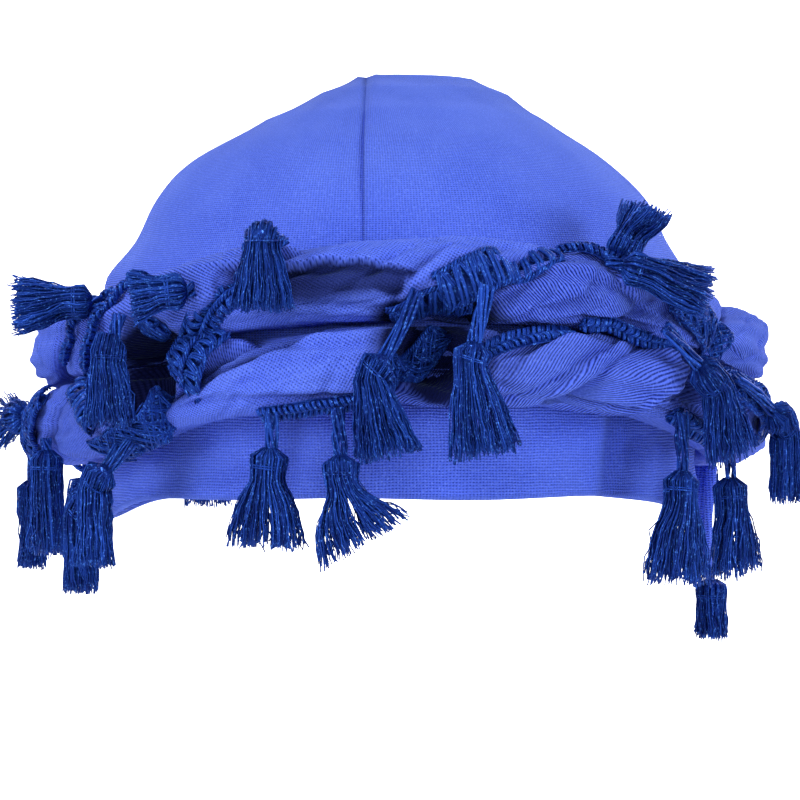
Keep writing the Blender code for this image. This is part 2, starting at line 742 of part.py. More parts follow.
def add_tassels():
    """Every tassel, tied to the edge of the scarf or to its loose end."""
    behind = [wrap.name for wrap in WRAPS.values()] + [row.name for row in EDGINGS]
    obstacles = Obstacles(behind + ["brow_band"])
    for row in HANGING_TASSELS:
        spot, way = WRAPS[row.wrap].ray(row.azimuth, row.rise)
        lean = way.xy.length if way.z < 0 else 1.0
        seat = spot + way * (obstacles.lift(spot, way) + TASSEL_GAP + CORD_RADIUS * lean)
        stations = tassel_stations(row.cord * SKIRT_LENGTH, row.skirt * SKIRT_LENGTH, row.spread)
        route = hanging_route(seat, stations, row.sway, row.lean, obstacles)
        build_tassel(row.name, stations, *route)
        obstacles.add(row.name)
    for row in STANDING_TASSELS:
        spot, way = WRAPS[row.wrap].ray(row.azimuth, row.rise)
        point = outward(row.azimuth) * row.out + outward(row.azimuth + 90) * row.around
        point = (point + Vector((0, 0, row.up))).normalized()
        lean = math.sqrt(max(0.0, 1 - point.dot(way) ** 2))
        seat = spot + way * (obstacles.lift(spot, way) + TASSEL_GAP + CORD_RADIUS * lean)
        stations = tassel_stations(row.cord * SKIRT_LENGTH, row.skirt * SKIRT_LENGTH, row.spread)
        spots = [seat + point * station.distance for station in stations]
        side = point.cross(way).normalized()
        flat = side.cross(point).normalized()
        build_tassel(row.name, stations, spots, [side] * len(spots), [flat] * len(spots))
        obstacles.add(row.name)
    add_tail(obstacles)


def add_tail(obstacles):
    """Loose end of the scarf that hangs under the lower roll, and the tassel at its end."""
    out, side = outward(TAIL_AZIMUTH), outward(TAIL_AZIMUTH + 90)
    under = WRAPS["lower"].centre(TAIL_AZIMUTH)
    hits = []
    for share in (-0.5, -0.25, 0.0, 0.25, 0.5):
        start = under + side * TAIL_TOP_WIDTH * share - Vector((0, 0, FAR))
        hits.append(obstacles.tree.ray_cast(start, Vector((0, 0, 1)))[0].z)
    top = min(hits) - TAIL_GAP
    made = bmesh.new()
    loops = []
    for share in (0.0, 0.33, 0.67, 1.0):
        half = (TAIL_TOP_WIDTH + (TAIL_END_WIDTH - TAIL_TOP_WIDTH) * share) / 2
        spot = Vector((under.x, under.y, top - TAIL_LENGTH * share))
        cup = out * TAIL_THICKNESS
        outline = (
            (-half, cup * -0.5),
            (0.0, cup * 0.4),
            (half, cup * -0.5),
            (half, cup * -1.5),
            (0.0, cup * -0.6),
            (-half, cup * -1.5),
        )
        loops.append([made.verts.new(spot + side * wide + deep) for wide, deep in outline])
    skin_loops(made, loops)
    made.faces.new(loops[0])
    made.faces.new(loops[-1])
    add_object("scarf_tail", made, "scarf")
    stations = tassel_stations(0.10 * SKIRT_LENGTH, 0.50 * SKIRT_LENGTH, 0.80)
    start = Vector((under.x, under.y, top - TAIL_LENGTH - TAIL_GAP)) - out * TAIL_THICKNESS * 0.1
    spots = [start - Vector((0, 0, station.distance)) for station in stations]
    build_tassel(TAIL_TASSEL, stations, spots, [side] * len(spots), [out] * len(spots))


clear_scene()
add_brow_band()
add_crown()
add_wraps()
add_edgings()
add_tassels()
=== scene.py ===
"""Looks of a pre-tied turban hat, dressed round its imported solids.

A seamed knit crown stands on a brow band, two twisted scarf rolls are wound round it, and the
rolls carry crochet edging and thread tassels. Metres; +Z is up and the wearer faces -Y. An
azimuth is measured in degrees from the front towards +X, the wearer's left.
"""

import sys
import logging
import math
from dataclasses import dataclass, field
from enum import Enum

import bmesh
import bpy
import numpy as np
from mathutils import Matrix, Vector
from mathutils.bvhtree import BVHTree


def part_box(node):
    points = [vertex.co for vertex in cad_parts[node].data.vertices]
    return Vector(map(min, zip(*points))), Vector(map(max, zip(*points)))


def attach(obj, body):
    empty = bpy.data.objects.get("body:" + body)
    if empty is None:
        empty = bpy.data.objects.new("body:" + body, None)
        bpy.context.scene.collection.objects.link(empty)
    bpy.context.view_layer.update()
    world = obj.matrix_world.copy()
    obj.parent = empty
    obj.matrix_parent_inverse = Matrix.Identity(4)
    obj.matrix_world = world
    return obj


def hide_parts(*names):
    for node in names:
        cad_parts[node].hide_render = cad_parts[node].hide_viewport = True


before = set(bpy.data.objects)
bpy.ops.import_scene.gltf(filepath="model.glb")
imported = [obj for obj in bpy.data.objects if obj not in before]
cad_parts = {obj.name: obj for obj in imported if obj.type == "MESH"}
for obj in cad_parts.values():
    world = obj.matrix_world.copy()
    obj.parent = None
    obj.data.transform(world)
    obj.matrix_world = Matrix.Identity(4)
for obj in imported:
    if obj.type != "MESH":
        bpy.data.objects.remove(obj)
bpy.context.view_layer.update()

LOG = logging.getLogger("turban_hat")
CLOTH_UV = "cloth"
TONE = "tone"
CRISP = "crisp"
SHADE = "shade"
BODY = "root"
TURN = 2 * math.pi


# ---------------------------------------------------------------- shapes shared by the pieces


def outward(azimuth: np.ndarray) -> np.ndarray:
    """Level unit vectors that point out of the head.

    Args:
        azimuth: Degrees from the front towards the wearer's left.

    Returns:
        An array with one more axis, of three numbers.
    """
    turn = np.radians(azimuth)
    return np.stack([np.sin(turn), -np.cos(turn), np.zeros_like(turn)], axis=-1)


def smooth_through(at: np.ndarray, knots: list, values: list, period: float = 0.0) -> np.ndarray:
    """Smooth curve through values at ascending knots.

    Args:
        at: Where the curve is wanted.
        knots: Places of the values.
        values: The values there.
        period: Length after which the curve repeats, or 0 for one that ends.

    Returns:
        The curve's value at each place.
    """
    knots, values = np.asarray(knots, float), np.asarray(values, float)
    at, count = np.asarray(at, float), len(knots)
    if period:
        at = (at - knots[0]) % period + knots[0]
        start = np.clip(np.searchsorted(knots, at, side="right") - 1, 0, count - 1)
        around = [(start + step) % count for step in (-1, 0, 1, 2)]
        span = (knots[around[2]] - knots[start]) % period
    else:
        start = np.clip(np.searchsorted(knots, at, side="right") - 1, 0, count - 2)
        around = [np.clip(start + step, 0, count - 1) for step in (-1, 0, 1, 2)]
        span = knots[around[2]] - knots[start]
    share = (at - knots[start]) / span
    before, first, second, after = (values[place] for place in around)
    rest = 1 - share
    return (
        first * (1 + 2 * share) * rest**2
        + (second - before) / 2 * share * rest**2
        + second * share**2 * (3 - 2 * share)
        - (after - first) / 2 * share**2 * rest
    )


def smooth_path(spots: np.ndarray, count: int) -> np.ndarray:
    """Evenly numbered points of a smooth path through a few spots."""
    at = np.linspace(0, len(spots) - 1, count)
    knots = list(range(len(spots)))
    return np.stack([smooth_through(at, knots, spots[:, axis]) for axis in range(spots.shape[1])], axis=-1)


def ripples(u: np.ndarray, v: np.ndarray, seed: int, count: int = 6, finest: int = 5) -> np.ndarray:
    """Soft uneven field, between about -1 and 1, that repeats after 1 in both directions.

    Args:
        u: First place, in turns.
        v: Second place, in turns.
        seed: Fixed seed of the draws.
        count: Number of waves that are added up.
        finest: Largest number of waves in a turn.

    Returns:
        The field at each place.
    """
    draws = np.random.default_rng(seed)
    total = np.zeros(np.broadcast(u, v).shape)
    for _ in range(count):
        along, across = draws.integers(-finest, finest + 1), draws.integers(1, finest + 1)
        total += np.sin(TURN * (along * u + across * v + draws.random()))
    return total / math.sqrt(count)


@dataclass(frozen=True)
class CapShape:
    """Outer form of the cap, which the other pieces lie on."""

    half_width: float = 0.0850
    half_depth: float = 0.1000
    exponent: float = 2.15
    base: float = 0.0303
    top: float = 0.1196
    heights: tuple = (0.00, 0.34, 0.47, 0.60, 0.73, 0.86, 0.94, 0.985)
    left: tuple = (1.000, 1.012, 0.912, 0.830, 0.702, 0.475, 0.285, 0.165)
    right: tuple = (1.000, 0.990, 0.918, 0.850, 0.700, 0.505, 0.375, 0.260)
    front: tuple = (1.000, 0.990, 0.945, 0.880, 0.760, 0.560, 0.370, 0.210)
    back: tuple = (1.000, 1.005, 0.975, 0.925, 0.830, 0.650, 0.470, 0.300)

    def side(self, shares: tuple, height: np.ndarray) -> np.ndarray:
        """Reach share of one side at a share of the crown's height."""
        inside = smooth_through(np.clip(height, 0, self.heights[-1]), self.heights, shares)
        close = np.sqrt(np.clip((1 - height) / (1 - self.heights[-1]), 0, 1))
        return inside * close

    def reach(self, azimuth: np.ndarray, z: np.ndarray) -> np.ndarray:
        """Distance from the axis to the cap's outside.

        Args:
            azimuth: Degrees from the front.
            z: Height of the spot.

        Returns:
            The distance at each spot.
        """
        height = (z - self.base) / (self.top - self.base)
        way = outward(azimuth)
        across = np.where(way[..., 0] > 0, self.side(self.right, height), self.side(self.left, height))
        deep = np.where(way[..., 1] > 0, self.side(self.back, height), self.side(self.front, height))
        across, deep = np.maximum(across, 1e-6) * self.half_width, np.maximum(deep, 1e-6) * self.half_depth
        total = np.abs(way[..., 0] / across) ** self.exponent + np.abs(way[..., 1] / deep) ** self.exponent
        return total ** (-1 / self.exponent)

    def inside(self, spots: np.ndarray) -> np.ndarray:
        """Whether each spot is within the crown's outside."""
        azimuth = np.degrees(np.arctan2(spots[..., 0], -spots[..., 1]))
        z = np.clip(spots[..., 2], self.base, self.top)
        return (np.hypot(spots[..., 0], spots[..., 1]) < self.reach(azimuth, z)) & (spots[..., 2] < self.top)

    def rise_to(self, z: np.ndarray) -> np.ndarray:
        """Length of cloth from the crown's lower edge up its front to a height."""
        heights = np.linspace(self.base, self.top, 400)
        reach = self.reach(np.zeros_like(heights), heights)
        lengths = np.concatenate([[0.0], np.cumsum(np.hypot(np.diff(heights), np.diff(reach)))])
        return np.interp(z, heights, lengths)


CAP = CapShape()


@dataclass(frozen=True)
class ScarfDrape:
    """How far the wound scarf sits below its height at the front, round the head."""

    drop: float = 0.0115
    stack: float = 0.0452
    azimuths: tuple = (-180, -135, -90, -65, -42, -22, 0, 22, 42, 65, 90, 135)
    shares: tuple = (1.90, 1.70, 1.45, 1.30, 0.90, 0.18, 0.00, 0.12, 0.90, 1.25, 1.40, 1.65)
    under_shares: tuple = (1.90, 1.70, 1.45, 1.30, 0.90, 0.18, 0.00, 0.04, 0.42, 1.10, 1.40, 1.65)

    def lowered(self, azimuth: np.ndarray, under: bool = False) -> np.ndarray:
        """Drop of the upper roll, or of the roll under it, at an azimuth."""
        shares = self.under_shares if under else self.shares
        return self.drop * smooth_through(azimuth, self.azimuths, shares, 360.0)

    def stack_height(self, azimuth: np.ndarray) -> np.ndarray:
        """Height at which the upper roll lies on the lower one."""
        return self.stack - self.lowered(azimuth, True)


DRAPE = ScarfDrape()


# ---------------------------------------------------------------- meshes


def plain_mesh(name: str, points: np.ndarray, faces: list) -> bpy.types.Mesh:
    """Mesh from points and the corners of its faces."""
    mesh = bpy.data.meshes.new(name)
    mesh.from_pydata([tuple(point) for point in points], [], faces)
    return mesh


def grid_faces(rows: int, columns: int) -> list:
    """Four-cornered faces of an open grid whose points are numbered row by row."""
    return [
        (r * columns + c, r * columns + c + 1, (r + 1) * columns + c + 1, (r + 1) * columns + c)
        for r in range(rows - 1)
        for c in range(columns - 1)
    ]


def put_cloth_uv(mesh: bpy.types.Mesh, places: np.ndarray) -> None:
    """Gives a mesh the map that its knit is drawn on, in metres of cloth.

    Args:
        mesh: The mesh to map.
        places: Two numbers for each corner of each face, or for each point.
    """
    if len(places) == len(mesh.vertices):
        corners = np.empty(len(mesh.loops), np.int32)
        mesh.loops.foreach_get("vertex_index", corners)
        places = places[corners]
    layer = mesh.uv_layers.new(name=CLOTH_UV)
    layer.data.foreach_set("uv", np.asarray(places, np.float32).reshape(-1))


def show_piece(name: str, mesh: bpy.types.Mesh, material: bpy.types.Material) -> bpy.types.Object:
    """Object for a finished mesh, smooth and in its material."""
    mesh.materials.clear()
    mesh.materials.append(material)
    mesh.shade_smooth()
    mesh.name = name
    thing = bpy.data.objects.new(name, mesh)
    bpy.context.scene.collection.objects.link(thing)
    return thing


def face_outwards(mesh: bpy.types.Mesh) -> None:
    """Turns every face of a closed mesh outwards."""
    made = bmesh.new()
    made.from_mesh(mesh)
    bmesh.ops.recalc_face_normals(made, faces=made.faces)
    made.to_mesh(mesh)
    made.free()


def settle(piece: bpy.types.Object, slot: str, *nodes: str) -> None:
    """Lets a piece stand for its CAD nodes and reports it.

    Args:
        piece: The finished object.
        slot: Material slot of the record that its finish comes from; not used.
        nodes: Names of the CAD nodes that it stands for.
    """
    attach(piece, BODY)
    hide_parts(*nodes)
    triangles = sum(len(face.vertices) - 2 for face in piece.data.polygons)
    LOG.info("%s: %d triangles in place of %s", piece.name, triangles, ", ".join(nodes))


def shade_core_body(path: dict, shares: tuple, size: float, flat: float = 1.0, lift: float = 0.0) -> bpy.types.Mesh:
    """Closed body, painted dark as shade, that fills the inside of a bundle or strip of threads.

    Args:
        path: The path's "spots", and its "wide" and "deep" vectors at each.
        shares: Where the body starts and ends, as shares of the path's points.
        size: Width as a share of the path's width.
        flat: Depth as a share of the path's depth, over the width's share.
        lift: How far the body stands off the path, in depths.

    Returns:
        A plain mesh.
    """
    count = len(path["spots"])
    start, stop = int(shares[0] * (count - 1)), int(math.ceil(shares[1] * (count - 1)))
    sides = 14
    angle = np.linspace(0, TURN, sides, endpoint=False)[None, :, None]
    place = np.linspace(0, 1, stop - start + 1)
    taper = (np.clip(np.sin(math.pi * (0.06 + 0.88 * place)), 0, 1) ** 0.25)[:, None, None]
    spots, wide, deep = (np.asarray(path[label])[start : stop + 1, None, :] for label in ("spots", "wide", "deep"))
    ring = wide * np.cos(angle) * size + deep * (np.sin(angle) * size * flat + lift)
    points = (spots + ring * taper).reshape(-1, 3)
    faces = [tuple(range(sides))[::-1], tuple(range(len(points) - sides, len(points)))]
    for row in range(stop - start):
        for side in range(sides):
            a, b = row * sides + side, row * sides + (side + 1) % sides
            faces.append((a, b, b + sides, a + sides))
    mesh = plain_mesh("core", points, faces)
    face_outwards(mesh)
    # Painted shade: the body takes the darkest thread tone, and only its last ring a mid tone.
    tones = np.full(len(points), 0.04, np.float32)
    tones[-sides:] = 0.5
    mesh.attributes.new(TONE, "FLOAT", "POINT").data.foreach_set("value", tones)
    return mesh


class Gathering:
    """Plain meshes of threads, gathered into one."""

    def __init__(self) -> None:
        """Starts with nothing."""
        self.points: list[np.ndarray] = []
        self.corners: list[np.ndarray] = []
        self.sizes: list[np.ndarray] = []
        self.tones: list[np.ndarray] = []
        self.count = 0

    def add(self, mesh: bpy.types.Mesh) -> None:
        """Takes the points, faces and tones of a mesh, which is then removed."""
        points = np.empty(len(mesh.vertices) * 3, np.float32)
        mesh.vertices.foreach_get("co", points)
        corners = np.empty(len(mesh.loops), np.int32)
        mesh.loops.foreach_get("vertex_index", corners)
        sizes = np.empty(len(mesh.polygons), np.int32)
        mesh.polygons.foreach_get("loop_total", sizes)
        tones = np.full(len(mesh.vertices), 0.5, np.float32)
        if TONE in mesh.attributes:
            mesh.attributes[TONE].data.foreach_get("value", tones)
        self.points.append(points)
        self.corners.append(corners + self.count)
        self.sizes.append(sizes)
        self.tones.append(tones)
        self.count += len(mesh.vertices)
        bpy.data.meshes.remove(mesh)

    def mesh(self, name: str) -> bpy.types.Mesh:
        """Everything gathered, as one mesh with the tone of each thread."""
        whole = bpy.data.meshes.new(name)
        points, corners = np.concatenate(self.points), np.concatenate(self.corners)
        sizes, tones = np.concatenate(self.sizes), np.concatenate(self.tones)
        whole.vertices.add(self.count)
        whole.vertices.foreach_set("co", points)
        whole.loops.add(len(corners))
        whole.loops.foreach_set("vertex_index", corners)
        whole.polygons.add(len(sizes))
        whole.polygons.foreach_set("loop_start", np.concatenate([[0], np.cumsum(sizes)[:-1]]).astype(np.int32))
        whole.update(calc_edges=True)
        whole.attributes.new(TONE, "FLOAT", "POINT").data.foreach_set("value", tones)
        return whole


# ---------------------------------------------------------------- node trees


class Sketch:
    """Adds nodes to a tree and joins them."""

    def __init__(self, tree: bpy.types.NodeTree) -> None:
        """Keeps the tree."""
        self.tree = tree

    def add(self, kind: str, inputs: dict | None = None, **settings: object) -> bpy.types.Node:
        """New node.

        Args:
            kind: The node's type.
            inputs: Sockets by name or number, each with a value or with the socket it comes from.
            settings: The node's own properties.

        Returns:
            The node.
        """
        made = self.tree.nodes.new(kind)
        for name, value in settings.items():
            setattr(made, name, value)
        for key, value in (inputs or {}).items():
            if isinstance(value, bpy.types.NodeSocket):
                self.tree.links.new(value, made.inputs[key])
            else:
                made.inputs[key].default_value = value
        return made

    def math(self, operation: str, *values: object) -> bpy.types.NodeSocket:
        """Result of an operation on numbers."""
        return self.add("ShaderNodeMath", dict(enumerate(values)), operation=operation).outputs[0]

    def vector(self, operation: str, *values: object) -> bpy.types.NodeSocket:
        """Result of an operation on vectors."""
        return self.add("ShaderNodeVectorMath", dict(enumerate(values)), operation=operation).outputs[0]

    def scaled(self, vector: object, factor: object) -> bpy.types.NodeSocket:
        """Vector times a number."""
        inputs = {0: vector, "Scale": factor}
        return self.add("ShaderNodeVectorMath", inputs, operation="SCALE").outputs[0]

    def between(self, share: object, low: object, high: object) -> bpy.types.NodeSocket:
        """Number between two others at a share."""
        return self.add("ShaderNodeMix", {0: share, 2: low, 3: high}, data_type="FLOAT").outputs[0]

    def colour(self, share: object, low: object, high: object) -> bpy.types.NodeSocket:
        """Colour between two others at a share."""
        return self.add("ShaderNodeMix", {0: share, 6: low, 7: high}, data_type="RGBA").outputs[2]

    def noise(self, place: object, scale: float, detail: float = 2.0) -> bpy.types.NodeSocket:
        """Soft noise, from 0 to 1, at a place."""
        return self.add("ShaderNodeTexNoise", {"Vector": place, "Scale": scale, "Detail": detail}).outputs[0]

    def ramp(self, value: object, low: float, high: float) -> bpy.types.NodeSocket:
        """Share, from 0 to 1, of a value between two limits."""
        inputs = {0: value, 1: low, 2: high, 3: 0.0, 4: 1.0}
        return self.add("ShaderNodeMapRange", inputs, interpolation_type="SMOOTHSTEP").outputs[0]


def thread_tree(name: str, sockets: list) -> tuple[Sketch, dict]:
    """Geometry tree with a path going in and threads coming out.

    Args:
        name: Name of the tree.
        sockets: Name, socket type and first value of each size.

    Returns:
        The sketch, and the input sockets by name.
    """
    tree = bpy.data.node_groups.new(name, "GeometryNodeTree")
    tree.interface.new_socket("Path", in_out="INPUT", socket_type="NodeSocketGeometry")
    for label, kind, value in sockets:
        made = tree.interface.new_socket(label, in_out="INPUT", socket_type=kind)
        if value is not None:
            made.default_value = value
    tree.interface.new_socket("Threads", in_out="OUTPUT", socket_type="NodeSocketGeometry")
    sketch = Sketch(tree)
    given = sketch.add("NodeGroupInput")
    return sketch, {socket.name: socket for socket in given.outputs if socket.name}


COUNT, LENGTH, PAINT = "NodeSocketInt", "NodeSocketFloat", "NodeSocketMaterial"


class ThreadTrees:
    """The two geometry trees that every cord, tassel and edging is grown with."""

    def __init__(self) -> None:
        """Builds both trees."""
        self.bundle = self.bundle_tree()
        self.braid = self.braid_tree()

    def sampled(self, sketch: Sketch, path: object, share: object) -> tuple:
        """Point of a path at a share of its length, and its wide and deep vectors there."""
        found = []
        for label in ("wide", "deep"):
            value = sketch.add("GeometryNodeInputNamedAttribute", {"Name": label}, data_type="FLOAT_VECTOR")
            inputs = {"Curves": path, 1: value.outputs[0], "Factor": share}
            found.append(sketch.add("GeometryNodeSampleCurve", inputs, data_type="FLOAT_VECTOR", mode="FACTOR"))
        return found[0].outputs["Position"], found[0].outputs["Value"], found[1].outputs["Value"]

    def strands(self, sketch: Sketch, given: dict) -> tuple:
        """Straight strands to be bent, with the number of each and the share along it."""
        line = sketch.add("GeometryNodeCurvePrimitiveLine").outputs[0]
        fine = sketch.add("GeometryNodeResampleCurve", {"Curve": line, "Count": given["Points"]}).outputs[0]
        inputs = {"Geometry": fine, "Amount": given["Strands"]}
        many = sketch.add("GeometryNodeDuplicateElements", inputs, domain="SPLINE")
        share = sketch.add("GeometryNodeSplineParameter").outputs["Factor"]
        return many.outputs[0], many.outputs["Duplicate Index"], share

    def random(self, sketch: Sketch, number: object, seed: object, offset: int) -> bpy.types.NodeSocket:
        """Fixed draw from 0 to 1 for each strand."""
        inputs = {"ID": number, "Seed": sketch.math("ADD", seed, float(offset))}
        return sketch.add("FunctionNodeRandomValue", inputs, data_type="FLOAT").outputs[1]

    def finish(self, sketch: Sketch, given: dict, strands: object, place: object, tone: object, size: object) -> None:
        """Bends the strands, gives them their thickness and material, and ends the tree."""
        bent = sketch.add("GeometryNodeSetPosition", {"Geometry": strands, "Position": place}).outputs[0]
        inputs = {"Geometry": bent, "Name": TONE, "Value": tone}
        toned = sketch.add("GeometryNodeStoreNamedAttribute", inputs, data_type="FLOAT", domain="POINT").outputs[0]
        ring = {"Resolution": given["Sides"], "Radius": given["Thread Radius"]}
        profile = sketch.add("GeometryNodeCurvePrimitiveCircle", ring).outputs[0]
        inputs = {"Curve": toned, "Profile Curve": profile, "Scale": size, "Fill Caps": True}
        tubes = sketch.add("GeometryNodeCurveToMesh", inputs).outputs[0]
        whole = sketch.add("GeometryNodeRealizeInstances", {0: tubes}).outputs[0]
        painted = sketch.add("GeometryNodeSetMaterial", {"Geometry": whole, "Material": given["Material"]}).outputs[0]
        sketch.add("NodeGroupOutput", {0: painted})

    def bundle_tree(self) -> bpy.types.NodeTree:
        """Bundle of loose threads that fills the width and depth of its path."""
        sketch, given = thread_tree(
            "thread_bundle",
            [
                ("Strands", COUNT, 60),
                ("Points", COUNT, 12),
                ("Sides", COUNT, 4),
                ("Thread Radius", LENGTH, 0.0003),
                ("Twist", LENGTH, 0.0),
                ("Wave", LENGTH, 0.0006),
                ("Wave Scale", LENGTH, 120.0),
                ("Clump", LENGTH, 0.0),
                ("Ragged", LENGTH, 0.1),
                ("Hollow", LENGTH, 0.0),
                ("Seed", COUNT, 1),
                ("Material", PAINT, None),
            ],
        )
        path = sketch.add("GeometryNodeMeshToCurve", {0: given["Path"]}).outputs[0]
        strands, number, share = self.strands(sketch, given)
        draws = [self.random(sketch, number, given["Seed"], offset) for offset in range(5)]
        filled = sketch.math("DIVIDE", sketch.math("ADD", number, 0.5), given["Strands"])
        radius = sketch.math("SQRT", sketch.between(given["Hollow"], filled, 1.0))
        turned = sketch.math("MULTIPLY_ADD", number, 2.39996, sketch.math("MULTIPLY", draws[0], 0.8))
        angle = sketch.math("MULTIPLY_ADD", share, given["Twist"], turned)
        across = sketch.math("MULTIPLY", radius, sketch.math("COSINE", angle))
        deep = sketch.math("MULTIPLY", radius, sketch.math("SINE", angle))
        cut = sketch.math("SUBTRACT", 1.0, sketch.math("MULTIPLY", given["Ragged"], draws[1]))
        spot, wide_way, deep_way = self.sampled(sketch, path, sketch.math("MULTIPLY", share, cut))
        place = sketch.vector("ADD", spot, sketch.scaled(wide_way, across))
        place = sketch.vector("ADD", place, sketch.scaled(deep_way, deep))
        shift = sketch.add("ShaderNodeCombineXYZ", {0: sketch.math("MULTIPLY", draws[2], 900.0), 1: share, 2: draws[3]})
        roughly = sketch.vector("ADD", sketch.scaled(place, given["Wave Scale"]), shift.outputs[0])
        swirl = sketch.add("ShaderNodeTexNoise", {"Vector": roughly, "Scale": 1.0, "Detail": 1.0}).outputs[1]
        swing = sketch.math("MULTIPLY_ADD", sketch.math("POWER", draws[4], 9.0), 4.0, 1.0)
        swing = sketch.math("MULTIPLY", swing, sketch.math("MULTIPLY", given["Wave"], sketch.math("SQRT", share)))
        wave = sketch.scaled(sketch.vector("SUBTRACT", swirl, (0.5, 0.5, 0.5)), sketch.math("MULTIPLY", swing, 4.0))
        near = sketch.scaled(place, 330.0)
        flock = sketch.add("ShaderNodeTexNoise", {"Vector": near, "Scale": 1.0, "Detail": 1.0}).outputs[1]
        pull = sketch.math("MULTIPLY", sketch.math("MULTIPLY", given["Clump"], share), 4.0)
        wave = sketch.vector("ADD", wave, sketch.scaled(sketch.vector("SUBTRACT", flock, (0.5, 0.5, 0.5)), pull))
        size = sketch.between(draws[3], 0.75, 1.2)
        self.finish(sketch, given, strands, sketch.vector("ADD", place, wave), draws[2], size)
        return sketch.tree

    def braid_tree(self) -> bpy.types.NodeTree:
        """Strands that swing from side to side along their path, as in a braid, coil or chain."""
        sketch, given = thread_tree(
            "thread_braid",
            [
                ("Strands", COUNT, 3),
                ("Points", COUNT, 120),
                ("Sides", COUNT, 4),
                ("Thread Radius", LENGTH, 0.0004),
                ("Turns", LENGTH, 12.0),
                ("Phase Step", LENGTH, 2.0944),
                ("Reach", LENGTH, 1.0),
                ("Shift", LENGTH, 0.0),
                ("Lift", LENGTH, 0.5),
                ("Depth", LENGTH, 0.5),
                ("Depth Turns", LENGTH, 1.0),
                ("Depth Phase", LENGTH, 0.0),
                ("Square", LENGTH, 0.0),
                ("Loop", LENGTH, 0.0),
                ("Unevenness", LENGTH, 0.1),
                ("Seed", COUNT, 1),
                ("Material", PAINT, None),
            ],
        )
        path = sketch.add("GeometryNodeMeshToCurve", {0: given["Path"]}).outputs[0]
        strands, number, share = self.strands(sketch, given)
        phase = sketch.math("MULTIPLY", number, given["Phase Step"])
        turned = sketch.math("MULTIPLY", sketch.math("MULTIPLY", share, given["Turns"]), TURN)
        drift = sketch.math("MULTIPLY_ADD", share, given["Turns"], sketch.math("MULTIPLY", given["Seed"], 7.3))
        drift = sketch.add("ShaderNodeCombineXYZ", {0: drift, 1: sketch.math("MULTIPLY", number, 0.35)}).outputs[0]
        uneven = sketch.add("ShaderNodeTexNoise", {"Vector": drift, "Scale": 0.9, "Detail": 2.0}).outputs[1]
        uneven = sketch.scaled(sketch.vector("SUBTRACT", uneven, (0.5, 0.5, 0.5)), given["Unevenness"])
        parts = sketch.add("ShaderNodeSeparateXYZ", {0: uneven}).outputs
        angle = sketch.math("ADD", turned, phase)
        swing = sketch.math("SINE", angle)
        room = sketch.math("SUBTRACT", 1.0, sketch.math("MULTIPLY", swing, swing))
        fuller = sketch.math("MULTIPLY_ADD", sketch.math("MULTIPLY", room, given["Square"]), 0.5, 1.0)
        swing = sketch.math("MULTIPLY", swing, fuller)
        across = sketch.math("MULTIPLY_ADD", swing, given["Reach"], given["Shift"])
        across = sketch.math("MULTIPLY_ADD", parts[0], 2.0, across)
        rise = sketch.math("MULTIPLY_ADD", angle, given["Depth Turns"], given["Depth Phase"])
        rise = sketch.math("MULTIPLY_ADD", sketch.math("COSINE", rise), given["Depth"], given["Lift"])
        rise = sketch.math("MULTIPLY_ADD", parts[1], 2.0, rise)
        loop = sketch.math("SINE", sketch.math("MULTIPLY_ADD", turned, 2.0, phase))
        loop = sketch.math("DIVIDE", sketch.math("MULTIPLY_ADD", loop, given["Loop"], parts[2]), given["Turns"])
        along = sketch.add("ShaderNodeClamp", {0: sketch.math("ADD", share, loop)}).outputs[0]
        spot, wide_way, deep_way = self.sampled(sketch, path, along)
        place = sketch.vector("ADD", spot, sketch.scaled(wide_way, across))
        place = sketch.vector("ADD", place, sketch.scaled(deep_way, rise))
        tone = self.random(sketch, number, given["Seed"], 3)
        self.finish(sketch, given, strands, place, tone, 1.0)
        return sketch.tree


def grow(tree: bpy.types.NodeTree, path: dict, sizes: dict) -> bpy.types.Mesh:
    """Threads that one of the trees grows along a path.

    Args:
        tree: The tree.
        path: The path's "spots", and its "wide" and "deep" vectors at each.
        sizes: Value of each named input.

    Returns:
        A plain mesh.
    """
    count = len(path["spots"])
    spine = bpy.data.meshes.new("path")
    spine.from_pydata([tuple(spot) for spot in path["spots"]], [(i, i + 1) for i in range(count - 1)], [])
    for label in ("wide", "deep"):
        layer = spine.attributes.new(label, "FLOAT_VECTOR", "POINT")
        layer.data.foreach_set("vector", np.asarray(path[label], np.float32).reshape(-1))
    holder = bpy.data.objects.new("path", spine)
    bpy.context.scene.collection.objects.link(holder)
    growth = holder.modifiers.new("growth", "NODES")
    growth.node_group = tree
    for item in tree.interface.items_tree:
        if item.item_type == "SOCKET" and item.in_out == "INPUT" and item.name in sizes:
            growth[item.identifier] = sizes[item.name]
    finished = holder.evaluated_get(bpy.context.evaluated_depsgraph_get())
    mesh = bpy.data.meshes.new_from_object(finished)
    bpy.data.objects.remove(holder)
    bpy.data.meshes.remove(spine)
    return mesh


# ---------------------------------------------------------------- finishes


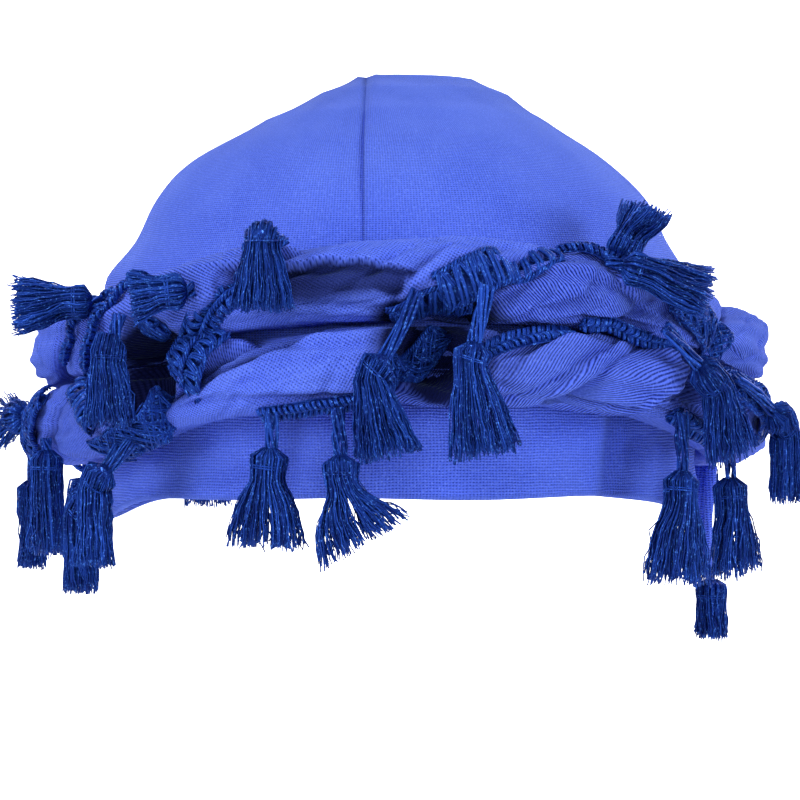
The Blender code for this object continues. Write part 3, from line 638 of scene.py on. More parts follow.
@dataclass(frozen=True)
class KnitFinish:
    """Fine rib knit with a soft nap, drawn on the cloth map, darkened with painted shade where the shade attribute is
    set.
    """

    name: str
    colour: tuple = (0.074, 0.138, 0.760, 1.0)
    # Colour of the rib grooves, painted shade between the ribs.
    groove_shade: tuple = (0.010, 0.024, 0.270, 1.0)
    worn: tuple = (0.160, 0.260, 0.930, 1.0)
    # Colour of painted shade; the shade attribute darkens the cloth towards it.
    deep: tuple = (0.002, 0.005, 0.055, 1.0)
    wander: float = 1.2
    pitch: float = 0.00078
    stitch: float = 0.00082
    cross: float = 0.34
    depth: float = 0.00040
    strength: float = 0.8
    sheen: float = 0.16

    def material(self) -> bpy.types.Material:
        """Builds the material."""
        material = bpy.data.materials.new(self.name)
        material.use_nodes = True
        shader = material.node_tree.nodes["Principled BSDF"]
        sketch = Sketch(material.node_tree)
        place = sketch.add("ShaderNodeUVMap", uv_map=CLOTH_UV).outputs["UV"]
        split = sketch.add("ShaderNodeSeparateXYZ", {0: place}).outputs
        wander = sketch.math("SUBTRACT", sketch.noise(place, 110.0), 0.5)
        course = sketch.math("MULTIPLY_ADD", split[1], 1 / self.pitch, sketch.math("MULTIPLY", wander, self.wander))
        wale = sketch.math("MULTIPLY_ADD", split[0], 1 / self.stitch, sketch.math("MULTIPLY", wander, self.wander))
        rib = sketch.math("MULTIPLY_ADD", sketch.math("SINE", sketch.math("MULTIPLY", course, TURN)), 0.5, 0.5)
        loop = sketch.math("MULTIPLY_ADD", sketch.math("SINE", sketch.math("MULTIPLY", wale, TURN)), 0.5, 0.5)
        fuzz = sketch.noise(place, 2600.0, 3.0)
        crisp = sketch.add("ShaderNodeAttribute", attribute_name=CRISP).outputs["Fac"]
        high = sketch.between(sketch.between(crisp, self.cross, 0.06), rib, loop)
        high = sketch.math("MULTIPLY_ADD", fuzz, sketch.between(crisp, 0.50, 0.22), high)
        patches = sketch.ramp(sketch.noise(place, 38.0, 4.0), 0.35, 0.72)
        # The ribs' grooves are darkened with painted shade; the bump gives the ribs their relief.
        yarn = sketch.colour(sketch.ramp(high, 0.20, 0.78), self.groove_shade, self.colour)
        light = sketch.math("MULTIPLY", sketch.ramp(sketch.noise(place, 1500.0, 2.0), 0.48, 0.8), 0.55)
        light = sketch.math("MULTIPLY_ADD", patches, 0.18, light)
        # Painted shade: the shade attribute darkens the cloth towards the deep colour in hollows, fold valleys, under
        # laps and on the band.
        shade = sketch.add("ShaderNodeAttribute", attribute_name=SHADE).outputs["Fac"]
        cloth = sketch.colour(shade, sketch.colour(light, yarn, self.worn), self.deep)
        sketch.tree.links.new(cloth, shader.inputs["Base Color"])
        bump = sketch.add("ShaderNodeBump", {"Strength": self.strength, "Distance": self.depth, "Height": high})
        sketch.tree.links.new(bump.outputs[0], shader.inputs["Normal"])
        shader.inputs["Roughness"].default_value = 0.88
        shader.inputs["Specular IOR Level"].default_value = 0.12
        shader.inputs["Sheen Weight"].default_value = self.sheen
        shader.inputs["Sheen Roughness"].default_value = 0.32
        shader.inputs["Sheen Tint"].default_value = (0.40, 0.68, 1.0, 1.0)
        return material


@dataclass(frozen=True)
class ThreadFinish:
    """Shiny twisted thread whose strands differ in tone, with light flecks that are partly painted glints."""

    name: str
    dark: tuple = (0.004, 0.011, 0.115, 1.0)
    colour: tuple = (0.015, 0.060, 0.380, 1.0)
    # Colour of the light flecks, partly painted glint.
    light: tuple = (0.070, 0.220, 0.800, 1.0)
    fleck_and_glint: float = 0.75
    roughness: float = 0.38

    def material(self) -> bpy.types.Material:
        """Builds the material."""
        material = bpy.data.materials.new(self.name)
        material.use_nodes = True
        shader = material.node_tree.nodes["Principled BSDF"]
        sketch = Sketch(material.node_tree)
        place = sketch.add("ShaderNodeTexCoord").outputs["Object"]
        tone = sketch.add("ShaderNodeAttribute", attribute_name=TONE).outputs["Fac"]
        yarn = sketch.colour(sketch.math("POWER", tone, 1.3), self.dark, self.colour)
        cloudy = sketch.ramp(sketch.noise(place, 160.0, 2.0), 0.30, 0.75)
        yarn = sketch.colour(sketch.math("MULTIPLY", cloudy, 0.5), yarn, self.colour)
        # Light flecks at random, partly the thread's own uneven tone and partly painted glints, and shinier there.
        flecks_and_glints = sketch.ramp(sketch.noise(place, 1400.0, 1.0), 0.56, 0.74)
        flecks_and_glints = sketch.math("MULTIPLY", flecks_and_glints, self.fleck_and_glint)
        sketch.tree.links.new(sketch.colour(flecks_and_glints, yarn, self.light), shader.inputs["Base Color"])
        grain = sketch.noise(place, 2400.0, 2.0)
        bump = sketch.add("ShaderNodeBump", {"Strength": 0.5, "Distance": 0.0002, "Height": grain})
        sketch.tree.links.new(bump.outputs[0], shader.inputs["Normal"])
        rough = sketch.between(flecks_and_glints, self.roughness, self.roughness * 0.7)
        sketch.tree.links.new(rough, shader.inputs["Roughness"])
        shader.inputs["Metallic"].default_value = 0.35
        shader.inputs["Specular IOR Level"].default_value = 0.15
        shader.inputs["Specular Tint"].default_value = (0.28, 0.48, 1.0, 1.0)
        return material


@dataclass(frozen=True)
class PaleFinish:
    """Plain pale paper of the studio's floor and backdrop."""

    name: str = "studio_paper"
    colour: tuple = (0.93, 0.93, 0.93, 1.0)

    def material(self) -> bpy.types.Material:
        """Builds the material."""
        material = bpy.data.materials.new(self.name)
        material.use_nodes = True
        shader = material.node_tree.nodes["Principled BSDF"]
        sketch = Sketch(material.node_tree)
        place = sketch.add("ShaderNodeTexCoord").outputs["Object"]
        tint = sketch.colour(sketch.noise(place, 3.0), self.colour, (0.95, 0.95, 0.95, 1.0))
        sketch.tree.links.new(tint, shader.inputs["Base Color"])
        shader.inputs["Roughness"].default_value = 0.95
        shader.inputs["Specular IOR Level"].default_value = 0.0
        return material


# ---------------------------------------------------------------- cap


@dataclass
class Crown:
    """Knit dome of two panels that meet at a seam from front to back."""

    seam: float = -0.0095
    overlap: float = 0.00012
    wall: float = 0.0018
    steps_along: int = 120
    steps_across: int = 52
    drawn_in: float = 0.0016
    seam_dip: float = 0.0004
    seam_run: float = 0.0012
    slack: float = 0.0010
    slack_run: float = 0.0130

    def panel_points(self, side: int) -> np.ndarray:
        """Outer points of one panel, in rows from the seam down to the lower edge."""
        turn = np.linspace(0, math.pi, self.steps_along + 1)[None, :]
        share = np.linspace(0, 1, self.steps_across + 1)[:, None]
        fall = share * math.pi / 2
        ways = np.stack(
            [
                side * np.sin(turn) * np.sin(fall),
                -np.cos(turn) * np.ones_like(fall),
                np.sin(turn) * np.cos(fall),
            ],
            axis=-1,
        )
        centre = np.array([self.seam - side * self.overlap, 0.0, CAP.base])
        low, high = np.zeros(ways.shape[:2]), np.full(ways.shape[:2], 0.3)
        for _ in range(36):
            middle = (low + high) / 2
            inside = CAP.inside(centre + ways * middle[..., None])
            low, high = np.where(inside, middle, low), np.where(inside, high, middle)
        spots = centre + ways * low[..., None]
        return spots + ways * self.ease(spots, side)[..., None]

    def ease(self, spots: np.ndarray, side: int) -> np.ndarray:
        """How far the cloth stands off the plain form of the dome."""
        across = np.abs(spots[..., 0] - self.seam)
        front = np.clip(-spots[..., 1] / CAP.half_depth, 0, 1)
        off = -self.seam_dip * np.exp(-((across / self.seam_run) ** 2))
        off += 0.0003 * np.exp(-(((across - 0.0026) / 0.0012) ** 2))
        if side < 0:
            upper = np.clip((CAP.top - 0.004 - spots[..., 2]) / 0.02, 0, 1)
            off -= self.slack * np.exp(-((across / self.slack_run) ** 2)) * front * upper
        crest = np.clip((spots[..., 2] - 0.110) / 0.008, 0, 1)
        off -= self.drawn_in * np.clip((spots[..., 2] - 0.036) / 0.02, 0, 1) * (1 - 0.8 * crest)
        azimuth = np.arctan2(spots[..., 0], -spots[..., 1]) / TURN
        calm = np.clip((CAP.top - spots[..., 2]) / 0.03, 0, 1)
        off += 0.0004 * ripples(azimuth, spots[..., 2] / 0.11, 11 + side, 6, 3) * calm
        fold = (spots[..., 0] - 0.004 - 0.35 * (0.1196 - spots[..., 2])) / 0.0035
        off -= 0.0006 * np.exp(-(fold**2)) * np.clip((spots[..., 2] - 0.096) / 0.02, 0, 1) * front
        return off

    def build(self, material: bpy.types.Material) -> list:
        """Builds both panels.

        Args:
            material: The knit's material.

        Returns:
            The two objects.
        """
        panels = []
        for name, side in (("crown_panel_left", -1), ("crown_panel_right", 1)):
            spots = self.panel_points(side)
            rows, columns = spots.shape[:2]
            mesh = plain_mesh(name, spots.reshape(-1, 3), grid_faces(rows, columns))
            turned = np.arctan2(side * (spots[..., 0] - self.seam), -spots[..., 1])
            map_u = turned * CAP.half_width + 0.5
            map_v = CAP.rise_to(np.clip(spots[..., 2], CAP.base, CAP.top))
            put_cloth_uv(mesh, np.stack([map_u, map_v], axis=-1).reshape(-1, 2))
            made = bmesh.new()
            made.from_mesh(mesh)
            bmesh.ops.remove_doubles(made, verts=made.verts, dist=1e-6)
            bmesh.ops.recalc_face_normals(made, faces=made.faces)
            middle = sum((face.normal.dot(face.calc_center_median()) for face in made.faces))
            if middle < 0:
                bmesh.ops.reverse_faces(made, faces=made.faces)
            made.to_mesh(mesh)
            made.free()
            panel = show_piece("knit_" + name, mesh, material)
            wall = panel.modifiers.new("wall", "SOLIDIFY")
            wall.thickness = self.wall
            wall.offset = -1.0
            finished = panel.evaluated_get(bpy.context.evaluated_depsgraph_get())
            whole = bpy.data.meshes.new_from_object(finished)
            panel.modifiers.clear()
            panel.data = whole
            settle(panel, "knit", name)
            panels.append(panel)
        return panels


@dataclass
class BrowBand:
    """Ring of doubled knit round the brow, with a soft folded lower edge, and painted shade in its dents and along its
    top under the rolls.
    """

    top: float = 0.0300
    wall: float = 0.0025
    dip_sides: float = 0.0085
    dip_back: float = 0.0040
    sides: int = 360
    rows: int = 26
    fold_rows: int = 8
    inner_rows: int = 8
    map_radius: float = 0.0925
    dents: tuple = ((-16.5, 1.9, 0.0026), (36.5, 2.0, 0.0028), (41.5, 2.0, 0.0006), (-38.0, 4.0, 0.0010))

    def rim(self, azimuth: np.ndarray) -> np.ndarray:
        """Height of the lower edge."""
        side = np.abs(np.sin(np.radians(azimuth))) ** 6
        back = ((1 - np.cos(np.radians(azimuth))) / 2) ** 2
        return -self.dip_sides * side - self.dip_back * back * (1 - side)

    def section(self) -> list:
        """Height share, inset and drop of each row, from the top down the outside and up the inside."""
        fold = self.wall / 2
        rows = [(1.0, self.wall * 0.5, 0.0), (1.0, 0.0004, 0.0)]
        rows += [(share, 0.0, 0.0) for share in np.linspace(0.985, 0.0, self.rows)]
        for step in range(1, self.fold_rows):
            turn = math.pi * step / self.fold_rows
            rows.append((0.0, fold * (1 - math.cos(turn)), fold * math.sin(turn)))
        rows += [(share, self.wall, 0.0) for share in np.linspace(0.0, 1.0, self.inner_rows)]
        return rows

    def build(self, material: bpy.types.Material) -> bpy.types.Object:
        """Builds the band.

        Args:
            material: The knit's material.

        Returns:
            The object.
        """
        azimuth = np.linspace(-180, 180, self.sides, endpoint=False)
        rim = self.rim(azimuth) + self.wall / 2 + 0.0004 * ripples(azimuth / 360, azimuth * 0, 5, 5, 9)
        reach = CAP.reach(azimuth, np.full_like(azimuth, CAP.base))
        rows, maps, shades = [], [], []
        for share, inset, drop in self.section():
            z = rim + (self.top - rim) * share - drop
            soft = 0.0005 * ripples(azimuth / 360, np.full_like(azimuth, share * 0.4), 23, 7, 8)
            # Painted shade: dark bars in the dents, and a darker strip along the top where the rolls shade the band.
            dark = azimuth * 0
            for place, run, depth in self.dents:
                sunk = np.exp(-(((azimuth - place - 2.5 * (share - 0.5)) / run) ** 2))
                soft -= depth * sunk * math.sin(math.pi * min(1, share * 0.8 + 0.2))
                dark += sunk * depth / 0.0030 * (0.12 + 0.36 * share)
            shades.append(np.clip(dark + 0.35 * max(0.0, share - 0.75) / 0.25, 0, 1))
            radius = reach - inset + soft - 0.0003
            rows.append(outward(azimuth) * radius[:, None] + np.stack([azimuth * 0, azimuth * 0, z], axis=-1))
            maps.append(np.stack([np.radians(azimuth) * self.map_radius, z - drop - inset * 0.5], axis=-1))
        points = np.concatenate(rows)
        count, sides = len(rows), self.sides
        faces, places = [], []
        for row in range(count):
            onward = (row + 1) % count
            for side in range(sides):
                other = (side + 1) % sides
                faces.append((row * sides + side, row * sides + other, onward * sides + other, onward * sides + side))
                shift = TURN * self.map_radius if other == 0 else 0.0
                a, b = maps[row][side], maps[row][other] + (shift, 0.0)
                c, d = maps[onward][other] + (shift, 0.0), maps[onward][side]
                places += [a, b, c, d]
        mesh = plain_mesh("brow_band", points, faces)
        put_cloth_uv(mesh, np.array(places))
        shade = np.concatenate(shades).astype(np.float32)
        mesh.attributes.new(SHADE, "FLOAT", "POINT").data.foreach_set("value", shade)
        face_outwards(mesh)
        band = show_piece("knit_brow_band", mesh, material)
        settle(band, "knit", "brow_band")
        return band


# ---------------------------------------------------------------- scarf


class Lay(Enum):
    """How the ribs of the knit lie on a strand."""

    STRAIGHT = "straight"
    FAN = "fan"


@dataclass(frozen=True)
class Strand:
    """One strand of a roll, from a fold to the next fold."""

    azimuth: float
    depth: float
    ribs: float = 44.0
    lay: Lay = Lay.STRAIGHT
    crisp: float = 0.2
    steps: int = 30


@dataclass(frozen=True)
class Hollow:
    """Place where the strands part and the roll opens into a hollow, darkened inside with painted shade."""

    azimuth: float
    rise: float
    half_turn: float
    half_rise: float
    depth: float


# Reach of a roll and girth of its section, which turn degrees into lengths of cloth.
ROLL_REACH, ROLL_GIRTH = 0.112, 0.066
LAP_EDGE = 0.00045


@dataclass(frozen=True)
class Lap:
    """Line where one fold of the cloth lies over another.

    The line goes through spots of azimuth and rise. The lower fold is on its left where side is 1
    and on its right where side is -1.
    """

    spots: tuple
    side: int
    depth: float
    run: float

    def dent(self, azimuth: np.ndarray, rise: np.ndarray) -> np.ndarray:
        """Depth of the lower fold, and a slight rise of the upper one, at each point."""
        scale = np.array([math.radians(1.0) * ROLL_REACH, ROLL_GIRTH / 360])
        line = smooth_path(np.array(self.spots, float) * scale, 60)
        u, v = azimuth * scale[0], rise * scale[1]
        margin = 4 * self.run
        near = (u > line[:, 0].min() - margin) & (u < line[:, 0].max() + margin)
        near &= (v > line[:, 1].min() - margin) & (v < line[:, 1].max() + margin)
        total = np.zeros(azimuth.shape)
        points = np.stack([u[near], v[near]], axis=-1)
        if not len(points):
            return total
        gaps = points[:, None, :] - line[None, :, :]
        spans = np.linalg.norm(gaps, axis=2)
        index = spans.argmin(axis=1)
        share = index / (len(line) - 1)
        way = np.gradient(line, axis=0)[index]
        gap = gaps[np.arange(len(points)), index]
        left = np.sign(way[:, 0] * gap[:, 1] - way[:, 1] * gap[:, 0])
        signed = spans[np.arange(len(points)), index] * left * self.side
        step = 0.5 + 0.5 * np.tanh(signed / LAP_EDGE)
        fade = np.clip(np.sin(math.pi * (0.04 + 0.92 * share)), 0, 1) ** 0.6
        beyond = (index == 0) | (index == len(line) - 1)
        fade = fade * np.where(beyond, np.exp(-((spans[np.arange(len(points)), index] / 0.002) ** 2)), 1.0)
        lower = step * np.exp(-np.maximum(signed, 0) / self.run)
        upper = (1 - step) * np.exp(-((signed / (self.run * 0.6)) ** 2)) * 0.3
        total[near] = self.depth * fade * (lower - upper)
        return total


SWELL_PLACES = (0.00, 0.07, 0.25, 0.50, 0.75, 0.93, 1.00)
SWELL_FULLNESS = (0.00, 0.46, 0.84, 1.00, 0.97, 0.74, 0.00)


@dataclass
class ScarfRoll:
    """One roll of twisted scarf round the cap."""

    name: str
    base: float
    height: float
    stack_side: int
    strands: tuple
    hollows: tuple
    laps: tuple
    seed: int
    thickness: float = 0.0200
    fold_depth: float = 0.0070
    fold_run: float = 19.0
    squareness: float = 0.85
    clearance: float = 0.0002
    stack_gap: float = 0.0006
    front_rows: int = 86
    back_rows: int = 12
    crease: float = 0.0012
    lap_limit: float = 0.0035
    seat: float = 0.0006
    fan_pinch: tuple = (0.0185, 0.0110)
    fan_spread: float = 0.0310
    # Painted shade of each point, which darkens the knit's colour.
    shade: np.ndarray = field(init=False, default=None)

    def azimuth_of(self, place: np.ndarray) -> np.ndarray:
        """Azimuth at mid height of a place counted in strands."""
        count = len(self.strands)
        starts = np.array([strand.azimuth for strand in self.strands], float)
        spans = (np.roll(starts, -1) - starts) % 360
        number = np.floor(place).astype(int)
        turns, index = np.divmod(number, count)
        return starts[index] + spans[index] * (place - number) + 360 * turns

    def rises(self) -> np.ndarray:
        """Rise of each row round the section, from the underside up the front and down the back."""
        front = np.linspace(-90, 95, self.front_rows, endpoint=False)
        return np.concatenate([front, np.linspace(95, 270, self.back_rows, endpoint=False)])

    def azimuths(self, place: np.ndarray, rise: np.ndarray) -> np.ndarray:
        """Azimuth of each point, which runs along the twist on the side that shows."""
        run = self.fold_run / 2
        return self.azimuth_of(place) + run * np.where(rise <= 90, rise, 180 - rise) / 90

    def dents(self, place: np.ndarray, rise: np.ndarray, azimuth: np.ndarray) -> tuple:
        """Depth of the folds and creases below the full roll, and of the hollows towards the head.

        Painted shade of each point, darkest in the fold valleys, the hollows and under the laps, goes into shade.
        """
        count = len(self.strands)
        number = np.floor(place).astype(int) % count
        share = place - np.floor(place)
        depths = np.array([strand.depth for strand in self.strands])
        depth = depths[number] + (np.roll(depths, -1)[number] - depths[number]) * share
        full = np.clip(smooth_through(share, SWELL_PLACES, SWELL_FULLNESS), 0, 1.1)
        shown = np.clip(np.cos(np.radians(rise)) + 0.5, 0, 1)
        dent = self.fold_depth * depth * (1 - full) * shown
        inner = np.sin(math.pi * share) ** 0.5 * shown
        # Painted shade in the valleys between the strands.
        self.shade = np.clip((1 - full) * depth, 0, 1) ** 3 * 0.6 * shown
        draws = np.random.default_rng(self.seed)
        for layer in range(4):
            lines = draws.integers(1, 4, count)[number]
            slant = draws.uniform(-1.6, 1.6, count)[number]
            start = draws.random(count)[number]
            strength = draws.uniform(0.25, 1.0, count)[number]
            bend = 0.25 * np.sin(np.radians(rise) * 1.5 + 6.0 * start)
            phase = lines * share + slant * rise / 180 + start + bend
            valley = np.exp(-((np.sin(math.pi * phase) / 0.22) ** 2))
            fade = 0.5 + 0.5 * np.sin(np.radians(rise) * 1.3 + 9.0 * start + layer)
            dent = dent + self.crease * strength * valley * fade * inner
        dent = dent - 0.0008 * ripples(azimuth / 360, rise / 360, self.seed + 1, 8, 14) * inner
        around = (azimuth + 180) % 360 - 180
        lapped = sum(lap.dent(around, rise) for lap in self.laps)
        dent = dent + np.minimum(lapped, self.lap_limit)
        inward = np.maximum(lapped - self.lap_limit, 0)
        for hollow in self.hollows:
            across = ((azimuth - hollow.azimuth + 180) % 360 - 180) / hollow.half_turn
            upward = (rise - hollow.rise) / hollow.half_rise
            sunk = np.exp(-((across**2 + upward**2) ** 2.2))
            inward = inward + hollow.depth * sunk
            # Painted shade deep in each hollow and on its walls.
            self.shade = np.maximum(self.shade, np.clip(4 * sunk, 0, 1) * min(1.0, hollow.depth / 0.014))
        # Painted shade under the laps.
        self.shade = np.maximum(self.shade, 0.66 * np.clip(lapped / 0.0024, 0, 1.1) ** 3)
        return dent, inward

    def surface(self, place: np.ndarray, rise: np.ndarray) -> np.ndarray:
        """Points of the roll.

        Args:
            place: Place round the head, counted in strands.
            rise: Degrees round the section, where 0 faces outwards and 90 up.

        Returns:
            The points.
        """
        azimuth = self.azimuths(place, rise)
        out, up = np.cos(np.radians(rise)), np.sin(np.radians(rise))
        dent, inward = self.dents(place, rise, azimuth)
        stack = DRAPE.stack_height(azimuth)
        middle = self.base + self.height / 2 - DRAPE.lowered(azimuth, self.stack_side < 0)
        z = middle + self.height / 2 * np.sign(up) * np.abs(up) ** self.squareness - dent * up
        if self.stack_side > 0:
            z = np.maximum(z, stack + self.stack_gap / 2)
        else:
            z = np.minimum(z, stack - self.stack_gap / 2)
        lean = CAP.reach(azimuth, stack) + self.seat + self.thickness / 2
        half_out = self.thickness / 2 * np.sign(out) * np.abs(out) ** self.squareness
        inner = CAP.reach(azimuth, z) + self.clearance - Crown.drawn_in * np.clip((z - 0.036) / 0.02, 0, 1)
        radius = np.maximum(lean + half_out - dent * out - inward, inner)
        radius = radius + (inner - radius) * np.clip(-out, 0, 1) ** 0.5
        return outward(azimuth) * radius[..., None] + np.stack([z * 0, z * 0, z], axis=-1)

    def rib_map(self, place: np.ndarray, rise: np.ndarray, number: int) -> np.ndarray:
        """Cloth map of a strand's points, in metres, with its ribs at the strand's own angle."""
        strand = self.strands[number % len(self.strands)]
        across = np.radians(self.azimuths(place, rise) - strand.azimuth) * ROLL_REACH
        along = rise / 360 * ROLL_GIRTH
        if strand.lay is Lay.FAN:
            from_pinch = along + self.fan_pinch[1], across + self.fan_pinch[0]
            angle, distance = np.arctan2(*from_pinch), np.hypot(*from_pinch)
            return np.stack([distance, angle * self.fan_spread + number], axis=-1)
        turn = math.radians(strand.ribs)
        map_v = across * math.cos(turn) + along * math.sin(turn)
        map_u = along * math.cos(turn) - across * math.sin(turn)
        return np.stack([map_u, map_v + number], axis=-1)

    def build(self, material: bpy.types.Material) -> bpy.types.Object:
        """Builds the roll.

        Args:
            material: The knit's material.

        Returns:
            The object.
        """
        rises = self.rises()
        places = np.concatenate([n + np.arange(strand.steps) / strand.steps for n, strand in enumerate(self.strands)])
        rows, columns = len(rises), len(places)
        starts = np.concatenate([[0], np.cumsum([strand.steps for strand in self.strands])])
        grid_place, grid_rise = np.meshgrid(places, rises, indexing="ij")
        points = self.surface(grid_place, grid_rise)
        faces, maps = [], []
        for number, strand in enumerate(self.strands):
            fine = number + np.arange(strand.steps + 1) / strand.steps
            fine[-1] -= 1e-9
            strand_place, strand_rise = np.meshgrid(fine, np.append(rises, 270.0), indexing="ij")
            chart = self.rib_map(strand_place, strand_rise, number)
            for step in range(strand.steps):
                column = starts[number] + step
                other = (column + 1) % columns
                for row in range(rows):
                    above = (row + 1) % rows
                    faces.append((column * rows + row, other * rows + row, other * rows + above, column * rows + above))
                    maps += [chart[step, row], chart[step + 1, row], chart[step + 1, row + 1], chart[step, row + 1]]
        mesh = plain_mesh(self.name, points.reshape(-1, 3), faces)
        put_cloth_uv(mesh, np.array(maps))
        crisp = np.repeat([strand.crisp for strand in self.strands], [strand.steps * rows for strand in self.strands])
        mesh.attributes.new(CRISP, "FLOAT", "POINT").data.foreach_set("value", crisp.astype(np.float32))
        # The painted shade goes to the mesh for the knit's colour.
        shade = np.clip(self.shade, 0, 1).reshape(-1).astype(np.float32)
        mesh.attributes.new(SHADE, "FLOAT", "POINT").data.foreach_set("value", shade)
        face_outwards(mesh)
        roll = show_piece("scarf_" + self.name, mesh, material)
        settle(roll, "scarf", self.name)
        return roll

    def spot(self, azimuth: float, rise: float) -> tuple:
        """Middle of the section and the way out of it, for what is laid on the roll."""
        at = np.array([float(azimuth)])
        z = self.base + self.height / 2 - DRAPE.lowered(at, self.stack_side < 0)
        lean = CAP.reach(at, DRAPE.stack_height(at)) + self.seat + self.thickness / 2
        out = Vector(outward(at)[0])
        way = out * math.cos(math.radians(rise)) + Vector((0, 0, math.sin(math.radians(rise))))
        return out * lean[0] + Vector((0, 0, z[0])), way


# ---------------------------------------------------------------- crochet edging


class Stitch(Enum):
    """Kinds of crochet on the scarf's edge."""

    LADDER = "ladder"
    LOOPS = "loops"
    BRAID = "braid"
    LACE = "lace"


@dataclass
class CrochetStrip:
    """Strip of crochet laid on a roll, from one spot of its section to another."""

    start: tuple
    end: tuple
    stitch: Stitch
    width: float = 0.0085
    height: float = 0.0030
    points: int = 22

    def path(self, roll: ScarfRoll, tree: BVHTree) -> dict:
        """Line over the dressed roll, with the ways across and off it."""
        spots, ways = [], []
        for share in np.linspace(0, 1, self.points):
            azimuth = self.start[0] + (self.end[0] - self.start[0]) * share
            rise = self.start[1] + (self.end[1] - self.start[1]) * share
            middle, way = roll.spot(azimuth, rise)
            hit = tree.ray_cast(middle + way * 0.04, -way)[0]
            spots.append(hit if hit is not None else middle + way * roll.thickness / 2)
            ways.append(way)
        lifted = []
        for i, (spot, way) in enumerate(zip(spots, ways)):
            near = [(spots[j] - spot).dot(way) for j in range(max(0, i - 2), min(self.points, i + 3))]
            lifted.append(spot + way * (0.6 * max(near) + 0.0002))
        sides = []
        for i, way in enumerate(ways):
            onward = lifted[min(i + 1, self.points - 1)] - lifted[max(i - 1, 0)]
            sides.append(way.cross(onward).normalized() * self.width / 2)
        return {
            "spots": np.array(lifted),
            "wide": np.array(sides),
            "deep": np.array([way * self.height for way in ways]),
        }

    def cord(self, length: float, shift: float, radius: float = 0.00033, lift: float = 0.4) -> dict:
        """Sizes of a thin twisted cord that runs along the strip at a share of its half width."""
        turns = max(3.0, length / 0.0030)
        sizes = {"Strands": 3, "Turns": turns, "Points": int(turns * 9), "Thread Radius": radius}
        sizes |= {"Phase Step": TURN / 3, "Reach": 0.0012 / self.width, "Depth": 0.0006 / self.height}
        return sizes | {"Shift": shift, "Lift": lift, "Unevenness": 0.05}

    def rungs(self, length: float, pitch: float, shift: float, reach: float) -> dict:
        """Sizes of a lane of thread that is worked to and fro across the strip."""
        turns = max(3.0, length / pitch)
        sizes = {"Strands": 3, "Turns": turns, "Points": int(turns * 16), "Thread Radius": 0.00033}
        sizes |= {"Phase Step": TURN * 0.00050 / pitch, "Reach": reach, "Shift": shift, "Square": 0.8}
        return sizes | {"Depth": 0.32, "Depth Turns": 2.0, "Lift": 0.55, "Unevenness": 0.16}

    def layers(self, length: float) -> list:
        """Sizes of the threads that make up the stitch, for a strip of some length."""
        if self.stitch is Stitch.LADDER:
            lanes = [self.rungs(length, 0.0040, shift, 0.43) for shift in (-0.49, 0.49)]
            return lanes + [self.cord(length, 0.0, 0.00036, 0.8)] + [self.cord(length, side) for side in (-0.98, 0.98)]
        if self.stitch is Stitch.LOOPS:
            turns = max(3.0, length / 0.0034)
            coil = {"Strands": 2, "Turns": turns, "Points": int(turns * 16), "Thread Radius": 0.00056, "Square": 0.3}
            coil |= {"Phase Step": TURN * 0.34, "Reach": 0.80, "Depth": 0.46, "Lift": 0.50, "Unevenness": 0.24}
            small = self.rungs(length, 0.0050, -0.45, 0.46) | {"Lift": 0.62}
            return [coil, small] + [self.cord(length, side) for side in (-0.9, 0.8)]
        if self.stitch is Stitch.BRAID:
            turns = max(3.0, length / 0.0044)
            braid = {"Strands": 6, "Turns": turns, "Points": int(turns * 18), "Thread Radius": 0.00034}
            braid |= {"Phase Step": TURN / 3 + 0.20, "Reach": 0.66, "Depth": 0.30, "Depth Turns": 2.0}
            return [braid | {"Depth Phase": -math.pi / 2, "Lift": 0.5, "Unevenness": 0.10}]
        lace = self.rungs(length, 0.0048, 0.0, 0.92) | {"Loop": 0.75, "Unevenness": 0.7, "Thread Radius": 0.00024}
        net = lace | {"Seed": 91, "Phase Step": 1.9, "Strands": 4, "Depth": 0.2}
        return [lace, net] + [self.cord(length, side) for side in (-0.9, 0.9)]

    def work(self, roll: ScarfRoll, tree: BVHTree, trees: ThreadTrees, gathered: Gathering, common: dict) -> None:
        """Works the strip's threads and adds them to what is gathered.

        Args:
            roll: The roll that it lies on.
            tree: Search tree of the dressed roll.
            trees: The thread trees.
            gathered: Where the threads go.
            common: Seed and material of the threads.
        """
        path = self.path(roll, tree)
        length = float(np.linalg.norm(np.diff(path["spots"], axis=0), axis=1).sum())
        plain = {"Sides": 5, "Depth Phase": 0.0, "Square": 0.0, "Loop": 0.0, "Depth Turns": 1.0, "Shift": 0.0}
        gathered.add(shade_core_body(path, (0.02, 0.98), 0.84, 0.16, 0.12))
        for number, sizes in enumerate(self.layers(length)):
            seed = {"Seed": common["Seed"] + number}
            gathered.add(grow(trees.braid, path, plain | common | seed | sizes))


@dataclass
class CrochetEdging:
    """Crochet on the scarf's edge where it comes to the surface, in one strip or two."""

    name: str
    strips: list

    def build(
        self, roll: ScarfRoll, tree: BVHTree, trees: ThreadTrees, material: bpy.types.Material
    ) -> bpy.types.Object:
        """Builds the edging.

        Args:
            roll: The roll that it lies on.
            tree: Search tree of the dressed roll.
            trees: The thread trees.
            material: The thread's material.

        Returns:
            The object.
        """
        gathered = Gathering()
        seed = sum(ord(letter) for letter in self.name)
        for number, strip in enumerate(self.strips):
            strip.work(roll, tree, trees, gathered, {"Seed": seed + 10 * number, "Material": material})
        edging = show_piece("crochet_" + self.name, gathered.mesh(self.name), material)
        settle(edging, "edging", self.name)
        return edging


# ---------------------------------------------------------------- tassels


